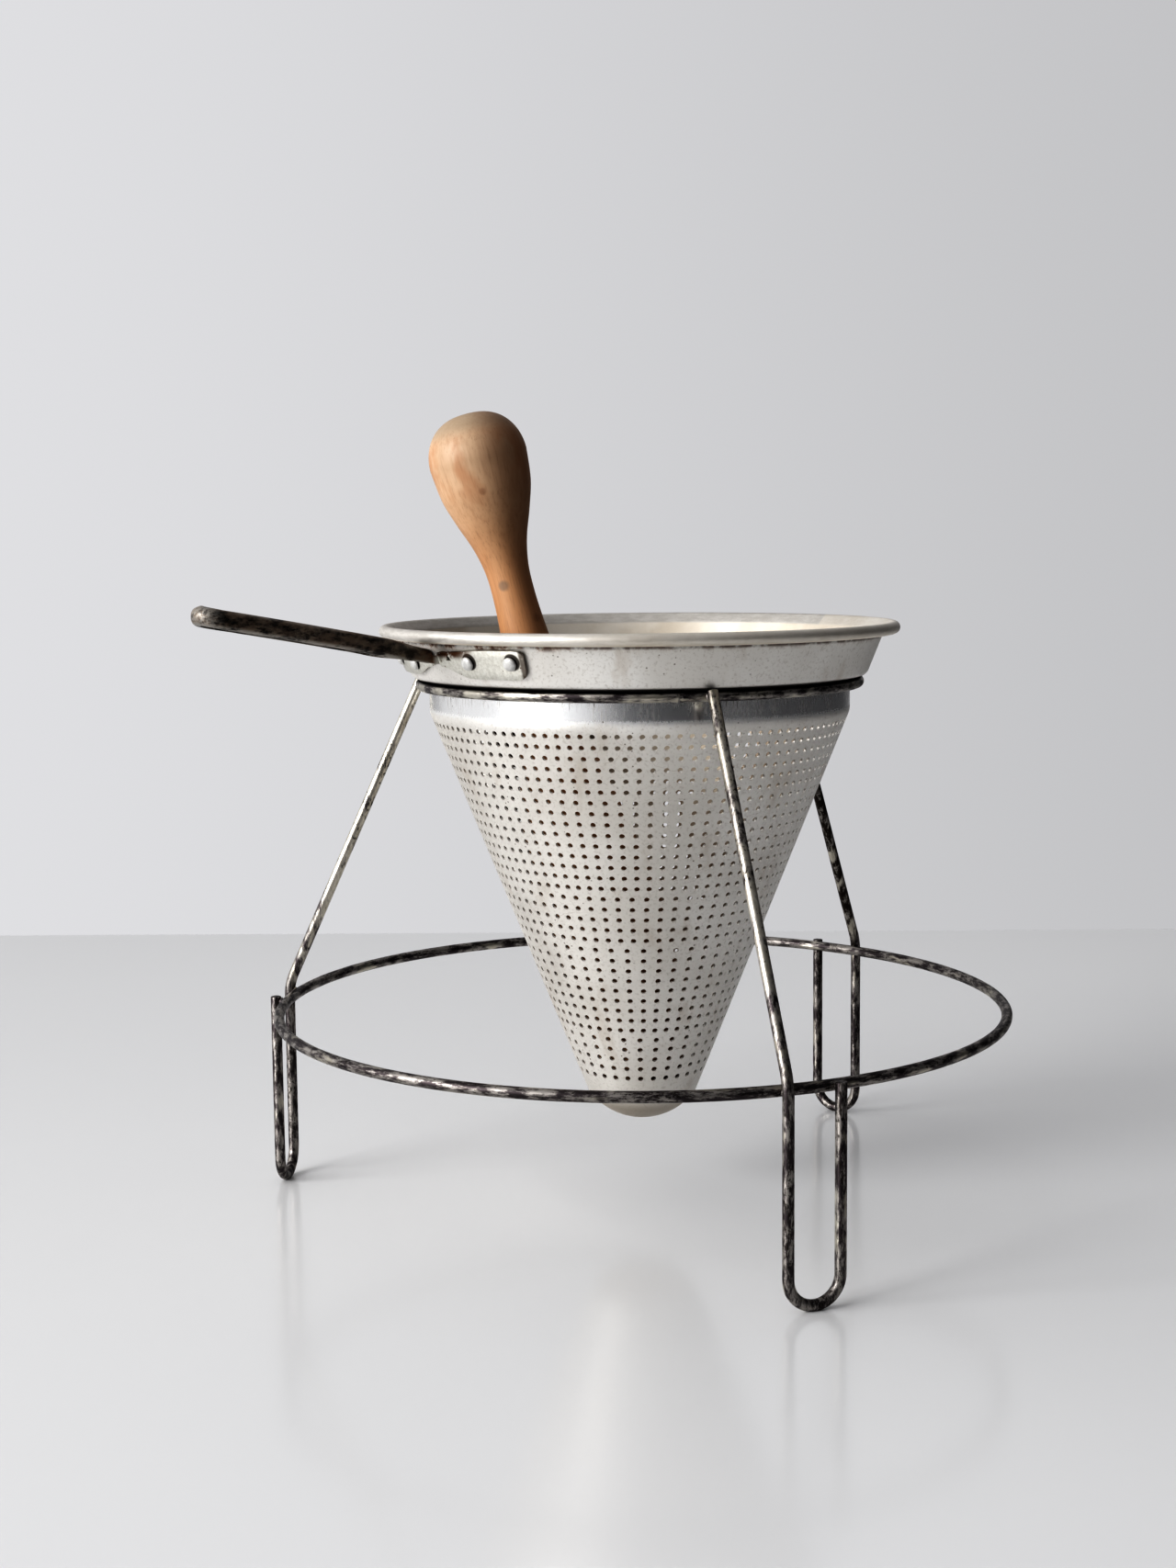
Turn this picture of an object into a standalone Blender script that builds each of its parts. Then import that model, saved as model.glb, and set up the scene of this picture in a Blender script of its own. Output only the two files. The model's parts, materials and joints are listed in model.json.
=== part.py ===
"""Potato ricer: a cone sieve with a riveted handle, its three-legged wire stand and a wooden pestle.

Metres, +Z up. The ground is z = 0, and the handle points along -X. Everything is first laid out
around the cone's own axis. At the end the whole object is moved so that the middle of its
box stands on the origin. Polar angles are measured about the cone's axis, from +X towards +Y.
"""

import math

import bmesh
import bpy
from mathutils import Matrix, Vector

MM = 0.001
GAP = 0.3 * MM  # left between two pieces that touch

# Sieve: spun sheet. A wall's radius and height are those of its outer face.
SHEET = 0.8 * MM
CONE_ANGLE = math.radians(21.68)  # the wall's angle from the axis
TIP_HEIGHT = 30.6 * MM
CREASE_RADIUS = 21.2 * MM
CREASE_HEIGHT = 41.5 * MM
STRIP_RADIUS = 81.05 * MM
SHOULDER_HEIGHT = 205.3 * MM
BAND_RADIUS = 87.27 * MM  # at the shoulder's height
RIM_RADIUS = 100.0 * MM
BEAD_RADIUS = 2.3 * MM
BEAD_HEIGHT = 223.5 * MM
BEAD_START = math.radians(135)
BEAD_TURN = math.radians(295)
RIM_WIRE_RADIUS = 1.2 * MM
RIM_WIRE_SIDES = 6
CURL_STEPS = 11
ROUND_STEPS = 54  # round the sieve, its rim wire and the top ring

# Handle: a pressed channel, open below, with two wings on the band.
SKIN = 1.2 * MM
HANDLE_REACH = 187.6 * MM  # from the cone's axis to the tip
HANDLE_ROOT = 92.4 * MM  # at its middle height; its end leans with the band
HANDLE_ROOT_HEIGHT = 215.8 * MM
HANDLE_SLOPE = 0.204
HANDLE_CURVE = 0.17  # loss of height per metre squared
HANDLE_DEPTH = 6.6 * MM
HANDLE_WIDTH = 16.0 * MM
NECK_DEPTH = 5.2 * MM
NECK_WIDTH = 5.6 * MM
NECK_LENGTH = 22.0 * MM
NOSE_LENGTH = 8.0 * MM
NOSE_ROUNDING = 3.2 * MM
EDGE_BEND = 2.4 * MM  # outer radius of the channel's long edges
HANG_HOLE_RADIUS = 3.5 * MM
HANG_HOLE_INSET = 13.0 * MM
HOLLOW_INSET = 5.0 * MM  # the channel's hollow starts this far from its root
HOLLOW_BELOW = 2.0 * MM
WING_ANGLE = math.radians(27.2)
WING_SKIN = 1.3 * MM
WING_SEAT = GAP + 0.05 * MM  # the wings' distance off the band
WING_ROOT = math.radians(1.5)  # the wings widen from here outwards
WING_ROOT_BOTTOM = 213.4 * MM
WING_BOTTOM = 209.3 * MM
WING_BOTTOM_REACH = math.radians(10.5)
WING_ROOT_TOP = 218.4 * MM
WING_TOP = 219.8 * MM
WING_TOP_REACH = math.radians(18)
WING_CORNER = math.radians(3.0)

# Rivets: two in each wing, set by hand, as (angle from the handle's direction, height).
RIVETS = (
    (math.radians(-23.5), 214.5 * MM),
    (math.radians(-10.9), 213.8 * MM),
    (math.radians(11.7), 215.0 * MM),
    (math.radians(23.6), 215.3 * MM),
)
SHANK_RADIUS = 1.5 * MM
HEAD_RADIUS = 2.6 * MM
HEAD_HEIGHT = 1.4 * MM
TAIL_HEIGHT = 0.9 * MM
DRILL_REACH = 5.0 * MM
RIVET_SIDES = 16

# Stand: one size of wire all through.
WIRE_RADIUS = 2.05 * MM
TOP_RING_RADIUS = 84.38 * MM
TOP_RING_HEIGHT = 202.95 * MM
BOTTOM_RING_RADIUS = 141.5 * MM
BOTTOM_RING_HEIGHT = 75.5 * MM
LEG_ANGLES = [math.radians(angle) for angle in (15.85, 135.85, 255.85)]
LEG_TOP = 205.0 * MM
LEG_TOP_RADIUS = 88.7 * MM  # in the leg's own plane, at the top ring's height
LEG_FOOT_RADIUS = 145.8 * MM
LEG_KNEE_HEIGHT = 78.5 * MM
LEG_KNEE_BEND = 22.0 * MM
FOOT_HALF_WIDTH = 9.86 * MM
FOOT_FLAT = 0.25 * MM  # worn off the bottom of each foot
RETURN_TOP = 77.5 * MM
WIRE_SIDES = 10
BOTTOM_RING_STEPS = 72

# Pestle: turned wood, leaning on the cone's wall.
PESTLE_LEAN = math.radians(14.0)
PESTLE_SIDE = math.radians(142.7)  # polar angle that its top leans towards
PESTLE_LENGTH = 283.2 * MM
PESTLE_CROSSING = 43.7 * MM  # height where its axis crosses the cone's axis
PESTLE_END = 11.9 * MM  # its lower end lies this far below the crossing, along its axis
ROLLER_LOW = 24.0 * MM  # the roller lies along the wall between these lengths from its end
ROLLER_HIGH = 60.0 * MM
WALL_GAP = 0.45 * MM
PESTLE_SIDES = 32
END_STEPS = 7

COLLECTION = bpy.context.scene.collection


def clear_scene():
    for obj in list(bpy.data.objects):
        bpy.data.objects.remove(obj, do_unlink=True)


def material(name, color, roughness, metallic):
    made = bpy.data.materials.new(name)
    made.use_nodes = True
    shader = made.node_tree.nodes["Principled BSDF"]
    shader.inputs["Base Color"].default_value = (*color, 1.0)
    shader.inputs["Roughness"].default_value = roughness
    shader.inputs["Metallic"].default_value = metallic
    return made


def add_object(name, mesh, finish, parent):
    obj = bpy.data.objects.new(name, mesh)
    obj.data.materials.clear()
    obj.data.materials.append(finish)
    obj.parent = parent
    COLLECTION.objects.link(obj)
    return obj


def add_empty(name, parent=None):
    empty = bpy.data.objects.new(name, None)
    empty.parent = parent
    COLLECTION.objects.link(empty)
    return empty


def mesh_from(name, points, faces, sharp_angle=35.0):
    """A closed mesh with its faces turned outward, shaded smooth up to the sharp angle."""
    shape = bmesh.new()
    verts = [shape.verts.new(point) for point in points]
    for face in faces:
        shape.faces.new([verts[index] for index in face])
    bmesh.ops.recalc_face_normals(shape, faces=shape.faces)
    mesh = bpy.data.meshes.new(name)
    shape.to_mesh(mesh)
    shape.free()
    mesh.shade_smooth()
    mesh.set_sharp_from_angle(angle=math.radians(sharp_angle))
    return mesh


def polar(radius, angle, height):
    return Vector((radius * math.cos(angle), radius * math.sin(angle), height))


# ---------------------------------------------------------------- outlines


def filleted(corners, step):
    """A path through (point, bend radius) corners, each bend an arc with points every step radians."""
    path = [corners[0][0]]
    for (before, _), (corner, radius), (after, _) in zip(corners, corners[1:], corners[2:]):
        arrive = (corner - before).normalized()
        leave = (after - corner).normalized()
        turn = arrive.angle(leave)
        start = corner - arrive * radius * math.tan(turn / 2)
        inward = (leave - arrive * arrive.dot(leave)).normalized()
        centre = start + inward * radius
        count = max(2, math.ceil(turn / step))
        for number in range(count + 1):
            angle = turn * number / count
            path.append(centre - inward * radius * math.cos(angle) + arrive * radius * math.sin(angle))
    path.append(corners[-1][0])
    return path


def band_radius(height):
    """Radius of the band's outer face."""
    return BAND_RADIUS + (height - SHOULDER_HEIGHT) * math.tan(CONE_ANGLE)


def sieve_middle_line():
    """The line half-way through the sieve's sheet, as (radius, height), from the tip to the rim's curl."""
    half = SHEET / 2
    aside = half / math.cos(CONE_ANGLE)
    rise = CREASE_HEIGHT - TIP_HEIGHT
    dome = (CREASE_RADIUS**2 + rise**2) / (2 * rise)
    dome_centre = TIP_HEIGHT + dome
    dome_edge = math.asin(CREASE_RADIUS / dome)
    line = []
    for number in range(5):
        angle = dome_edge * number / 5
        line.append(Vector(((dome - half) * math.sin(angle), dome_centre - (dome - half) * math.cos(angle))))

    strip_start = CREASE_HEIGHT + (STRIP_RADIUS - CREASE_RADIUS) / math.tan(CONE_ANGLE)
    shoulder = SHOULDER_HEIGHT + half
    bead = Vector((RIM_RADIUS - BEAD_RADIUS, BEAD_HEIGHT))
    curl = BEAD_RADIUS - half
    curl_start = bead + curl * Vector((math.cos(BEAD_START), math.sin(BEAD_START)))
    band_slope = math.tan(CONE_ANGLE)
    band_foot = band_radius(shoulder) - aside
    # The flare climbs at 45 degrees to the start of the curl.
    flare = (curl_start.x - curl_start.y - band_foot + band_slope * shoulder) / (band_slope - 1)
    corners = [
        (Vector((CREASE_RADIUS - aside, CREASE_HEIGHT)), 0),
        (Vector((STRIP_RADIUS - half, strip_start)), 6 * MM),
        (Vector((STRIP_RADIUS - half, shoulder)), 1.6 * MM),
        (Vector((band_foot, shoulder)), 2.8 * MM),
        (Vector((band_foot + band_slope * (flare - shoulder), flare)), 2.0 * MM),
        (curl_start, 0),
    ]
    line += filleted(corners, math.radians(36))
    for number in range(1, CURL_STEPS + 1):
        angle = BEAD_START - BEAD_TURN * number / CURL_STEPS
        line.append(bead + curl * Vector((math.cos(angle), math.sin(angle))))
    return line


def thickened(line, thickness):
    """Closed outline of a sheet around its middle line, outer side first."""
    outer = []
    inner = []
    for index, point in enumerate(line):
        before = line[max(index - 1, 0)]
        after = line[min(index + 1, len(line) - 1)]
        along = (after - before).normalized()
        side = Vector((along.y, -along.x)) * thickness / 2
        if index == 0:
            side = Vector((0, -thickness / 2))
        outer.append(point + side)
        inner.append(point - side)
    return outer + inner[::-1]


def turned(name, outline, steps, sharp_angle=35.0):
    """Solid of revolution of a closed (radius, height) outline; points on the axis become poles."""
    points = []
    rows = []
    for spot in outline:
        if abs(spot[0]) < 1e-7:
            rows.append([len(points)] * steps)
            points.append(Vector((0, 0, spot[1])))
            continue
        rows.append(list(range(len(points), len(points) + steps)))
        points += [polar(spot[0], 2 * math.pi * step / steps, spot[1]) for step in range(steps)]
    faces = []
    for row, following in zip(rows, rows[1:] + rows[:1]):
        if row[0] == row[1] and following[0] == following[1]:
            continue
        for step in range(steps):
            beside = (step + 1) % steps
            corners = [row[step], row[beside], following[beside], following[step]]
            faces.append(list(dict.fromkeys(corners)))
    return mesh_from(name, points, faces, sharp_angle)


# ---------------------------------------------------------------- wires


def tube(name, path, radius, sides, across, floor):
    """A round wire with flat cut ends. A corner points across the path, and nothing goes below the floor."""
    count = len(path)
    points = []
    for index, point in enumerate(path):
        before = path[max(index - 1, 0)]
        after = path[min(index + 1, count - 1)]
        along = (after - before).normalized()
        across = (across - along * across.dot(along)).normalized()
        third = along.cross(across)
        for side in range(sides):
            angle = 2 * math.pi * side / sides
            spot = point + radius * (across * math.cos(angle) + third * math.sin(angle))
            spot.z = max(spot.z, floor)
            points.append(spot)
    faces = []
    for index in range(count - 1):
        here = index * sides
        there = here + sides
        for side in range(sides):
            beside = (side + 1) % sides
            faces.append([here + side, here + beside, there + beside, there + side])
    faces.append(list(range(sides)))
    faces.append(list(range((count - 1) * sides, count * sides)))
    return mesh_from(name, points, faces, sharp_angle=50.0)


def ring_mesh(name, radius, height, wire, steps, sides):
    """A hoop of round wire."""
    outline = []
    for side in range(sides):
        angle = 2 * math.pi * (side + 0.5) / sides
        outline.append(Vector((radius + wire * math.cos(angle), height + wire * math.sin(angle))))
    return turned(name, outline, steps, sharp_angle=50.0)


def leg_path():
    """The leg's wire, in its own frame: x outward from the cone's axis, y across, z up.

    It comes down from the top ring, bends to upright at the knee, goes round the foot and
    comes back up to the bottom ring.
    """
    slope = (LEG_FOOT_RADIUS - LEG_TOP_RADIUS) / (TOP_RING_HEIGHT - LEG_KNEE_HEIGHT)
    top_x = LEG_TOP_RADIUS - slope * (LEG_TOP - TOP_RING_HEIGHT)
    foot_centre = FOOT_HALF_WIDTH + WIRE_RADIUS - FOOT_FLAT
    corners = [
        (Vector((top_x, -FOOT_HALF_WIDTH, LEG_TOP)), 0),
        (Vector((LEG_FOOT_RADIUS, -FOOT_HALF_WIDTH, LEG_KNEE_HEIGHT)), LEG_KNEE_BEND),
        (Vector((LEG_FOOT_RADIUS, -FOOT_HALF_WIDTH, foot_centre)), 0),
    ]
    path = filleted(corners, math.radians(5))
    bends = 13
    for number in range(1, bends + 1):
        angle = math.pi + math.pi * number / bends
        across = FOOT_HALF_WIDTH * math.cos(angle)
        path.append(Vector((LEG_FOOT_RADIUS, across, foot_centre + FOOT_HALF_WIDTH * math.sin(angle))))
    path.append(Vector((LEG_FOOT_RADIUS, FOOT_HALF_WIDTH, RETURN_TOP)))
    return path


# ---------------------------------------------------------------- handle and rivets


def on_band(angle, height, offset):
    """A point off the band's outer face. The angle is taken from the handle's own direction."""
    radius = band_radius(height) + offset * math.cos(CONE_ANGLE)
    return polar(radius, math.pi + angle, height - offset * math.sin(CONE_ANGLE))


def smooth_step(value):
    value = min(max(value, 0.0), 1.0)
    return value * value * (3 - 2 * value)


def wing_edges(angle):
    """Lower and upper height of the wings' outline: narrow at the neck, rounded at the ends."""
    away = abs(angle)
    bottom_share = smooth_step((away - WING_ROOT) / WING_BOTTOM_REACH)
    top_share = smooth_step((away - WING_ROOT) / WING_TOP_REACH)
    bottom = WING_ROOT_BOTTOM + (WING_BOTTOM - WING_ROOT_BOTTOM) * bottom_share
    top = WING_ROOT_TOP + (WING_TOP - WING_ROOT_TOP) * top_share
    into_corner = (away - (WING_ANGLE - WING_CORNER)) / WING_CORNER
    if into_corner > 0:
        corner = WING_CORNER * BAND_RADIUS
        cut = corner * (1 - math.sqrt(max(0.0, 1 - into_corner**2)))
        bottom += cut
        top -= cut * 0.6
    return bottom, top


def wing_columns():
    """Angles of the outline's columns, closer together in the rounded ends."""
    flat = WING_ANGLE - WING_CORNER
    half = [flat * share for share in (0, 0.07, 0.15, 0.24, 0.33, 0.42, 0.53, 0.66, 0.79, 0.91)]
    half += [flat + WING_CORNER * math.sin(math.pi / 2 * share) for share in (0, 0.35, 0.62, 0.85, 1)]
    return [-angle for angle in reversed(half[1:])] + half


def wings_mesh():
    rows = 4
    columns = wing_columns()
    points = []
    for offset in (WING_SEAT, WING_SEAT + WING_SKIN):
        for angle in columns:
            bottom, top = wing_edges(angle)
            for row in range(rows):
                height = bottom + (top - bottom) * row / (rows - 1)
                points.append(on_band(angle, height, offset))
    layer = len(columns) * rows
    faces = []
    for column in range(len(columns) - 1):
        for row in range(rows - 1):
            corner = column * rows + row
            quad = [corner, corner + 1, corner + rows + 1, corner + rows]
            faces.append(quad)
            faces.append([index + layer for index in reversed(quad)])
    edge = [column * rows for column in range(len(columns))]
    edge += [(len(columns) - 1) * rows + row for row in range(1, rows)]
    edge += [column * rows + rows - 1 for column in range(len(columns) - 2, -1, -1)]
    edge += [row for row in range(rows - 2, 0, -1)]
    for here, there in zip(edge, edge[1:] + edge[:1]):
        faces.append([here, there, there + layer, here + layer])
    return mesh_from("wings", points, faces)


def handle_height(reach):
    """Height of the channel's middle at a distance from the cone's axis."""
    along = reach - HANDLE_ROOT
    return HANDLE_ROOT_HEIGHT + HANDLE_SLOPE * along - HANDLE_CURVE * along**2


def handle_section(reach, skin, below):
    """A cross-section of the channel, shrunk by skin and reaching below its lower edge by below.

    The points run from one lower edge over the top to the other.
    """
    share = smooth_step((reach - HANDLE_ROOT - 3 * MM) / NECK_LENGTH)
    half_width = (NECK_WIDTH + (HANDLE_WIDTH - NECK_WIDTH) * share) / 2
    half_depth = (NECK_DEPTH + (HANDLE_DEPTH - NECK_DEPTH) * share) / 2
    nose = min(max((reach - HANDLE_REACH + NOSE_LENGTH) / NOSE_LENGTH, 0.0), 0.998)
    half_width *= math.sqrt(1 - nose**2)
    end = min(max((reach - HANDLE_REACH + NOSE_ROUNDING) / NOSE_ROUNDING, 0.0), 1.0)
    lift = (half_depth - 0.8 * MM) * (1 - math.sqrt(1 - (0.995 * end) ** 2))
    middle = handle_height(reach)
    top = middle + half_depth - lift - skin
    bottom = middle - half_depth + lift - below
    side = max(half_width - skin, 0.25 * MM)
    bend = min(EDGE_BEND - skin * 0.6, side * 0.9, (top - bottom) * 0.8)
    corners = [(side, bottom), (side, (bottom + top - bend) / 2)]
    for number in range(5):
        angle = math.pi / 2 * number / 4
        corners.append((side - bend * (1 - math.cos(angle)), top - bend * (1 - math.sin(angle))))
    lean = math.tan(CONE_ANGLE) * max(0.0, 1 - (reach - HANDLE_ROOT) / NECK_LENGTH)
    section = [Vector((-reach - lean * (height - middle), across, height)) for across, height in corners]
    return section + [Vector((spot.x, -spot.y, spot.z)) for spot in reversed(section)]


def channel_mesh(name, reaches, skin, below):
    """A closed bar through the channel's cross-sections."""
    sections = [handle_section(reach, skin, below) for reach in reaches]
    size = len(sections[0])
    points = [spot for section in sections for spot in section]
    faces = []
    for index in range(len(sections) - 1):
        for spot in range(size):
            beside = (spot + 1) % size
            here = index * size
            there = here + size
            faces.append([here + spot, here + beside, there + beside, there + spot])
    faces.append(list(range(size)))
    last = (len(sections) - 1) * size
    for spot in range(size // 2 - 1):
        faces.append([last + spot, last + spot + 1, last + size - 2 - spot, last + size - 1 - spot])
    return mesh_from(name, points, faces)


def channel_reaches(start, end):
    """Stations along the handle, closer together in the neck and in the nose."""
    neck = [start + (NECK_LENGTH + 4 * MM) * share for share in (0, 0.15, 0.3, 0.45, 0.6, 0.75, 0.9)]
    body_start = start + NECK_LENGTH + 8 * MM
    body = [body_start + (end - NOSE_LENGTH - body_start) * share for share in (0, 0.25, 0.5, 0.75, 1)]
    nose = [end - NOSE_LENGTH * (1 - math.sin(math.pi / 2 * share)) for share in (0.3, 0.5, 0.7, 0.85, 1)]
    return neck + body + nose


def boolean(target, cutter, operation):
    """Cuts or joins with a helper object, which is taken out of the render."""
    modifier = target.modifiers.new(cutter.name, "BOOLEAN")
    modifier.operation = operation
    modifier.object = cutter
    cutter.hide_render = True
    cutter.display_type = "WIRE"


def rivet_frame(angle, height):
    """Places a rivet: origin on the band's outer face, +Z out of it."""
    outward = polar(math.cos(CONE_ANGLE), math.pi + angle, -math.sin(CONE_ANGLE))
    turn = outward.to_track_quat("Z", "Y").to_matrix().to_4x4()
    return Matrix.Translation(on_band(angle, height, 0)) @ turn


def rivet_outline():
    """Half section of a rivet, from the middle of its inner end to the middle of its domed head."""
    head_seat = WING_SEAT + WING_SKIN + GAP
    tail_seat = -SHEET - GAP
    outline = [Vector((0, tail_seat - TAIL_HEIGHT))]
    for share in (0.55, 0.85, 1.0):
        drop = TAIL_HEIGHT * (1 - share**4)
        outline.append(Vector((HEAD_RADIUS * share, tail_seat - drop)))
    outline.append(Vector((SHANK_RADIUS, tail_seat)))
    outline.append(Vector((SHANK_RADIUS, head_seat)))
    for number in range(4):
        angle = math.pi / 2 * number / 4
        outline.append(Vector((HEAD_RADIUS * math.cos(angle), head_seat + HEAD_HEIGHT * math.sin(angle))))
    outline.append(Vector((0, head_seat + HEAD_HEIGHT)))
    return outline


def drill_mesh(name, radius, reach, steps):
    """A round helper that cuts a hole along Z, as far as reach on both sides of its origin."""
    outline = [Vector((0, -reach)), Vector((radius, -reach)), Vector((radius, reach)), Vector((0, reach))]
    return turned(name, outline, steps)


# ---------------------------------------------------------------- pestle


def wall_distance(along):
    """Distance from the pestle's axis to the cone's inner face, at a length along from its lower end."""
    inner = SHEET / math.cos(CONE_ANGLE)
    height = PESTLE_CROSSING + (along - PESTLE_END) * math.cos(PESTLE_LEAN)
    out = (along - PESTLE_END) * math.sin(PESTLE_LEAN)
    radius = CREASE_RADIUS + (height - CREASE_HEIGHT) * math.tan(CONE_ANGLE) - inner
    return (radius - out) * math.cos(CONE_ANGLE)


def pestle_outline():
    """Half section from the lower end to the top: roller, neck and knob."""
    length = PESTLE_LENGTH
    contact_low = wall_distance(ROLLER_LOW) - WALL_GAP
    contact_high = wall_distance(ROLLER_HIGH) - WALL_GAP
    knots = [
        (ROLLER_LOW, contact_low),
        ((ROLLER_LOW + ROLLER_HIGH) / 2, (contact_low + contact_high) / 2),
        (ROLLER_HIGH, contact_high),
        (76 * MM, 26.2 * MM),
        (100 * MM, 23.6 * MM),
        (128 * MM, 18.6 * MM),
        (160 * MM, 13.0 * MM),
        (185 * MM, 10.1 * MM),
        (length - 83 * MM, 8.7 * MM),
        (length - 72 * MM, 8.15 * MM),
        (length - 62 * MM, 8.5 * MM),
        (length - 52 * MM, 10.6 * MM),
        (length - 41.5 * MM, 14.4 * MM),
        (length - 31 * MM, 17.6 * MM),
        (length - 19 * MM, 19.0 * MM),
    ]
    outline = [Vector((0, 0))]
    for number in range(1, END_STEPS):
        angle = math.pi / 2 * number / END_STEPS
        outline.append(Vector((contact_low * math.sin(angle), ROLLER_LOW * (1 - math.cos(angle) ** 1.25))))
    outline += [Vector((radius, along)) for along, radius in knots]
    crown_along, crown_radius = knots[-1]
    for number in range(1, END_STEPS):
        angle = math.pi / 2 * number / END_STEPS
        rise = (length - crown_along) * math.sin(angle)
        outline.append(Vector((crown_radius * math.cos(angle) ** 0.9, crown_along + rise)))
    outline.append(Vector((0, length)))
    return outline


# ---------------------------------------------------------------- the assembly


def make_handle(parent, steel):
    """One channel with two wings, hollow below and with a hole to hang it by."""
    handle = add_object("handle", wings_mesh(), steel, parent)
    bar_mesh = channel_mesh("bar", channel_reaches(HANDLE_ROOT, HANDLE_REACH), 0, 0)
    hollow_reaches = channel_reaches(HANDLE_ROOT + HOLLOW_INSET, HANDLE_REACH - SKIN)
    hollow_mesh = channel_mesh("hollow", hollow_reaches, SKIN, HOLLOW_BELOW)
    hole_mesh = drill_mesh("hang_hole", HANG_HOLE_RADIUS, 2 * DRILL_REACH, 20)
    hole = add_object("hang_hole", hole_mesh, steel, parent)
    reach = HANDLE_REACH - HANG_HOLE_INSET
    hole.location = Vector((-reach, 0, handle_height(reach)))
    boolean(handle, add_object("handle_bar", bar_mesh, steel, parent), "UNION")
    boolean(handle, add_object("handle_hollow", hollow_mesh, steel, parent), "DIFFERENCE")
    boolean(handle, hole, "DIFFERENCE")
    return handle


def make_sieve(parent, aluminium, steel):
    body_mesh = turned("sieve_body", thickened(sieve_middle_line(), SHEET), ROUND_STEPS)
    body = add_object("sieve_body", body_mesh, aluminium, parent)
    wire_centre = RIM_RADIUS - BEAD_RADIUS
    wire = ring_mesh("rim_wire", wire_centre, BEAD_HEIGHT, RIM_WIRE_RADIUS, ROUND_STEPS, RIM_WIRE_SIDES)
    add_object("rim_wire", wire, steel, parent)
    handle = make_handle(parent, steel)
    rivet_mesh = turned("rivet", rivet_outline(), RIVET_SIDES)
    bore_mesh = drill_mesh("rivet_bore", SHANK_RADIUS + GAP, DRILL_REACH, RIVET_SIDES)
    for number, (angle, height) in enumerate(RIVETS, start=1):
        drill = add_object(f"rivet_bore_{number}", bore_mesh, steel, parent)
        rivet = add_object(f"rivet_{number}", rivet_mesh, aluminium, parent)
        for piece in (drill, rivet):
            piece.matrix_local = rivet_frame(angle, height)
        boolean(body, drill, "DIFFERENCE")
        boolean(handle, drill, "DIFFERENCE")


def make_stand(parent, steel):
    top = ring_mesh("stand_top_ring", TOP_RING_RADIUS, TOP_RING_HEIGHT, WIRE_RADIUS, ROUND_STEPS, WIRE_SIDES)
    add_object("stand_top_ring", top, steel, parent)
    size = (BOTTOM_RING_RADIUS, BOTTOM_RING_HEIGHT, WIRE_RADIUS)
    bottom = ring_mesh("stand_bottom_ring", *size, BOTTOM_RING_STEPS, WIRE_SIDES)
    add_object("stand_bottom_ring", bottom, steel, parent)
    leg_mesh = tube("leg", leg_path(), WIRE_RADIUS, WIRE_SIDES, Vector((1, 0, 0)), 0.0)
    for number, angle in enumerate(LEG_ANGLES, start=1):
        leg = add_object(f"leg_{number}", leg_mesh, steel, parent)
        leg.rotation_euler.z = angle


def make_pestle(parent, wood):
    pestle = add_object("pestle", turned("pestle", pestle_outline(), PESTLE_SIDES), wood, parent)
    along = Vector((0, 0, 1))
    tilt = Matrix.Rotation(PESTLE_LEAN, 4, along.cross(polar(1, PESTLE_SIDE, 0)))
    end = tilt @ Vector((0, 0, -PESTLE_END)) + Vector((0, 0, PESTLE_CROSSING))
    pestle.matrix_local = Matrix.Translation(end) @ tilt


def stand_on_origin(root):
    """Moves the object so that the middle of its box stands on the origin."""
    bpy.context.view_layer.update()
    graph = bpy.context.evaluated_depsgraph_get()
    corners = []
    for obj in COLLECTION.objects:
        if obj.type == "MESH" and not obj.hide_render:
            ready = obj.evaluated_get(graph)
            corners += [ready.matrix_world @ vertex.co for vertex in ready.data.vertices]
    for axis in (0, 1):
        values = [corner[axis] for corner in corners]
        root.location[axis] = -(min(values) + max(values)) / 2


def main():
    clear_scene()
    aluminium = material("aluminium", (0.62, 0.61, 0.58), 0.42, 1.0)
    steel = material("tinned_steel", (0.22, 0.20, 0.18), 0.45, 1.0)
    wood = material("maple", (0.48, 0.30, 0.16), 0.55, 0.0)
    root = add_empty("ricer")
    make_stand(add_empty("stand", root), steel)
    make_sieve(add_empty("sieve", root), aluminium, steel)
    make_pestle(add_empty("pestle_axis", root), wood)
    stand_on_origin(root)


main()
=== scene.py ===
"""The looks of the potato ricer: a perforated cone sieve, its wire stand and a wooden pestle.

Metres, +Z up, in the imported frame. Round pieces are made around the cone's axis, and their
objects stand on that axis. Polar angles are measured about it, from +X towards +Y.
"""

import json
import math

import bmesh
import bpy
import numpy as np
from mathutils import Matrix, Vector, noise


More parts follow.
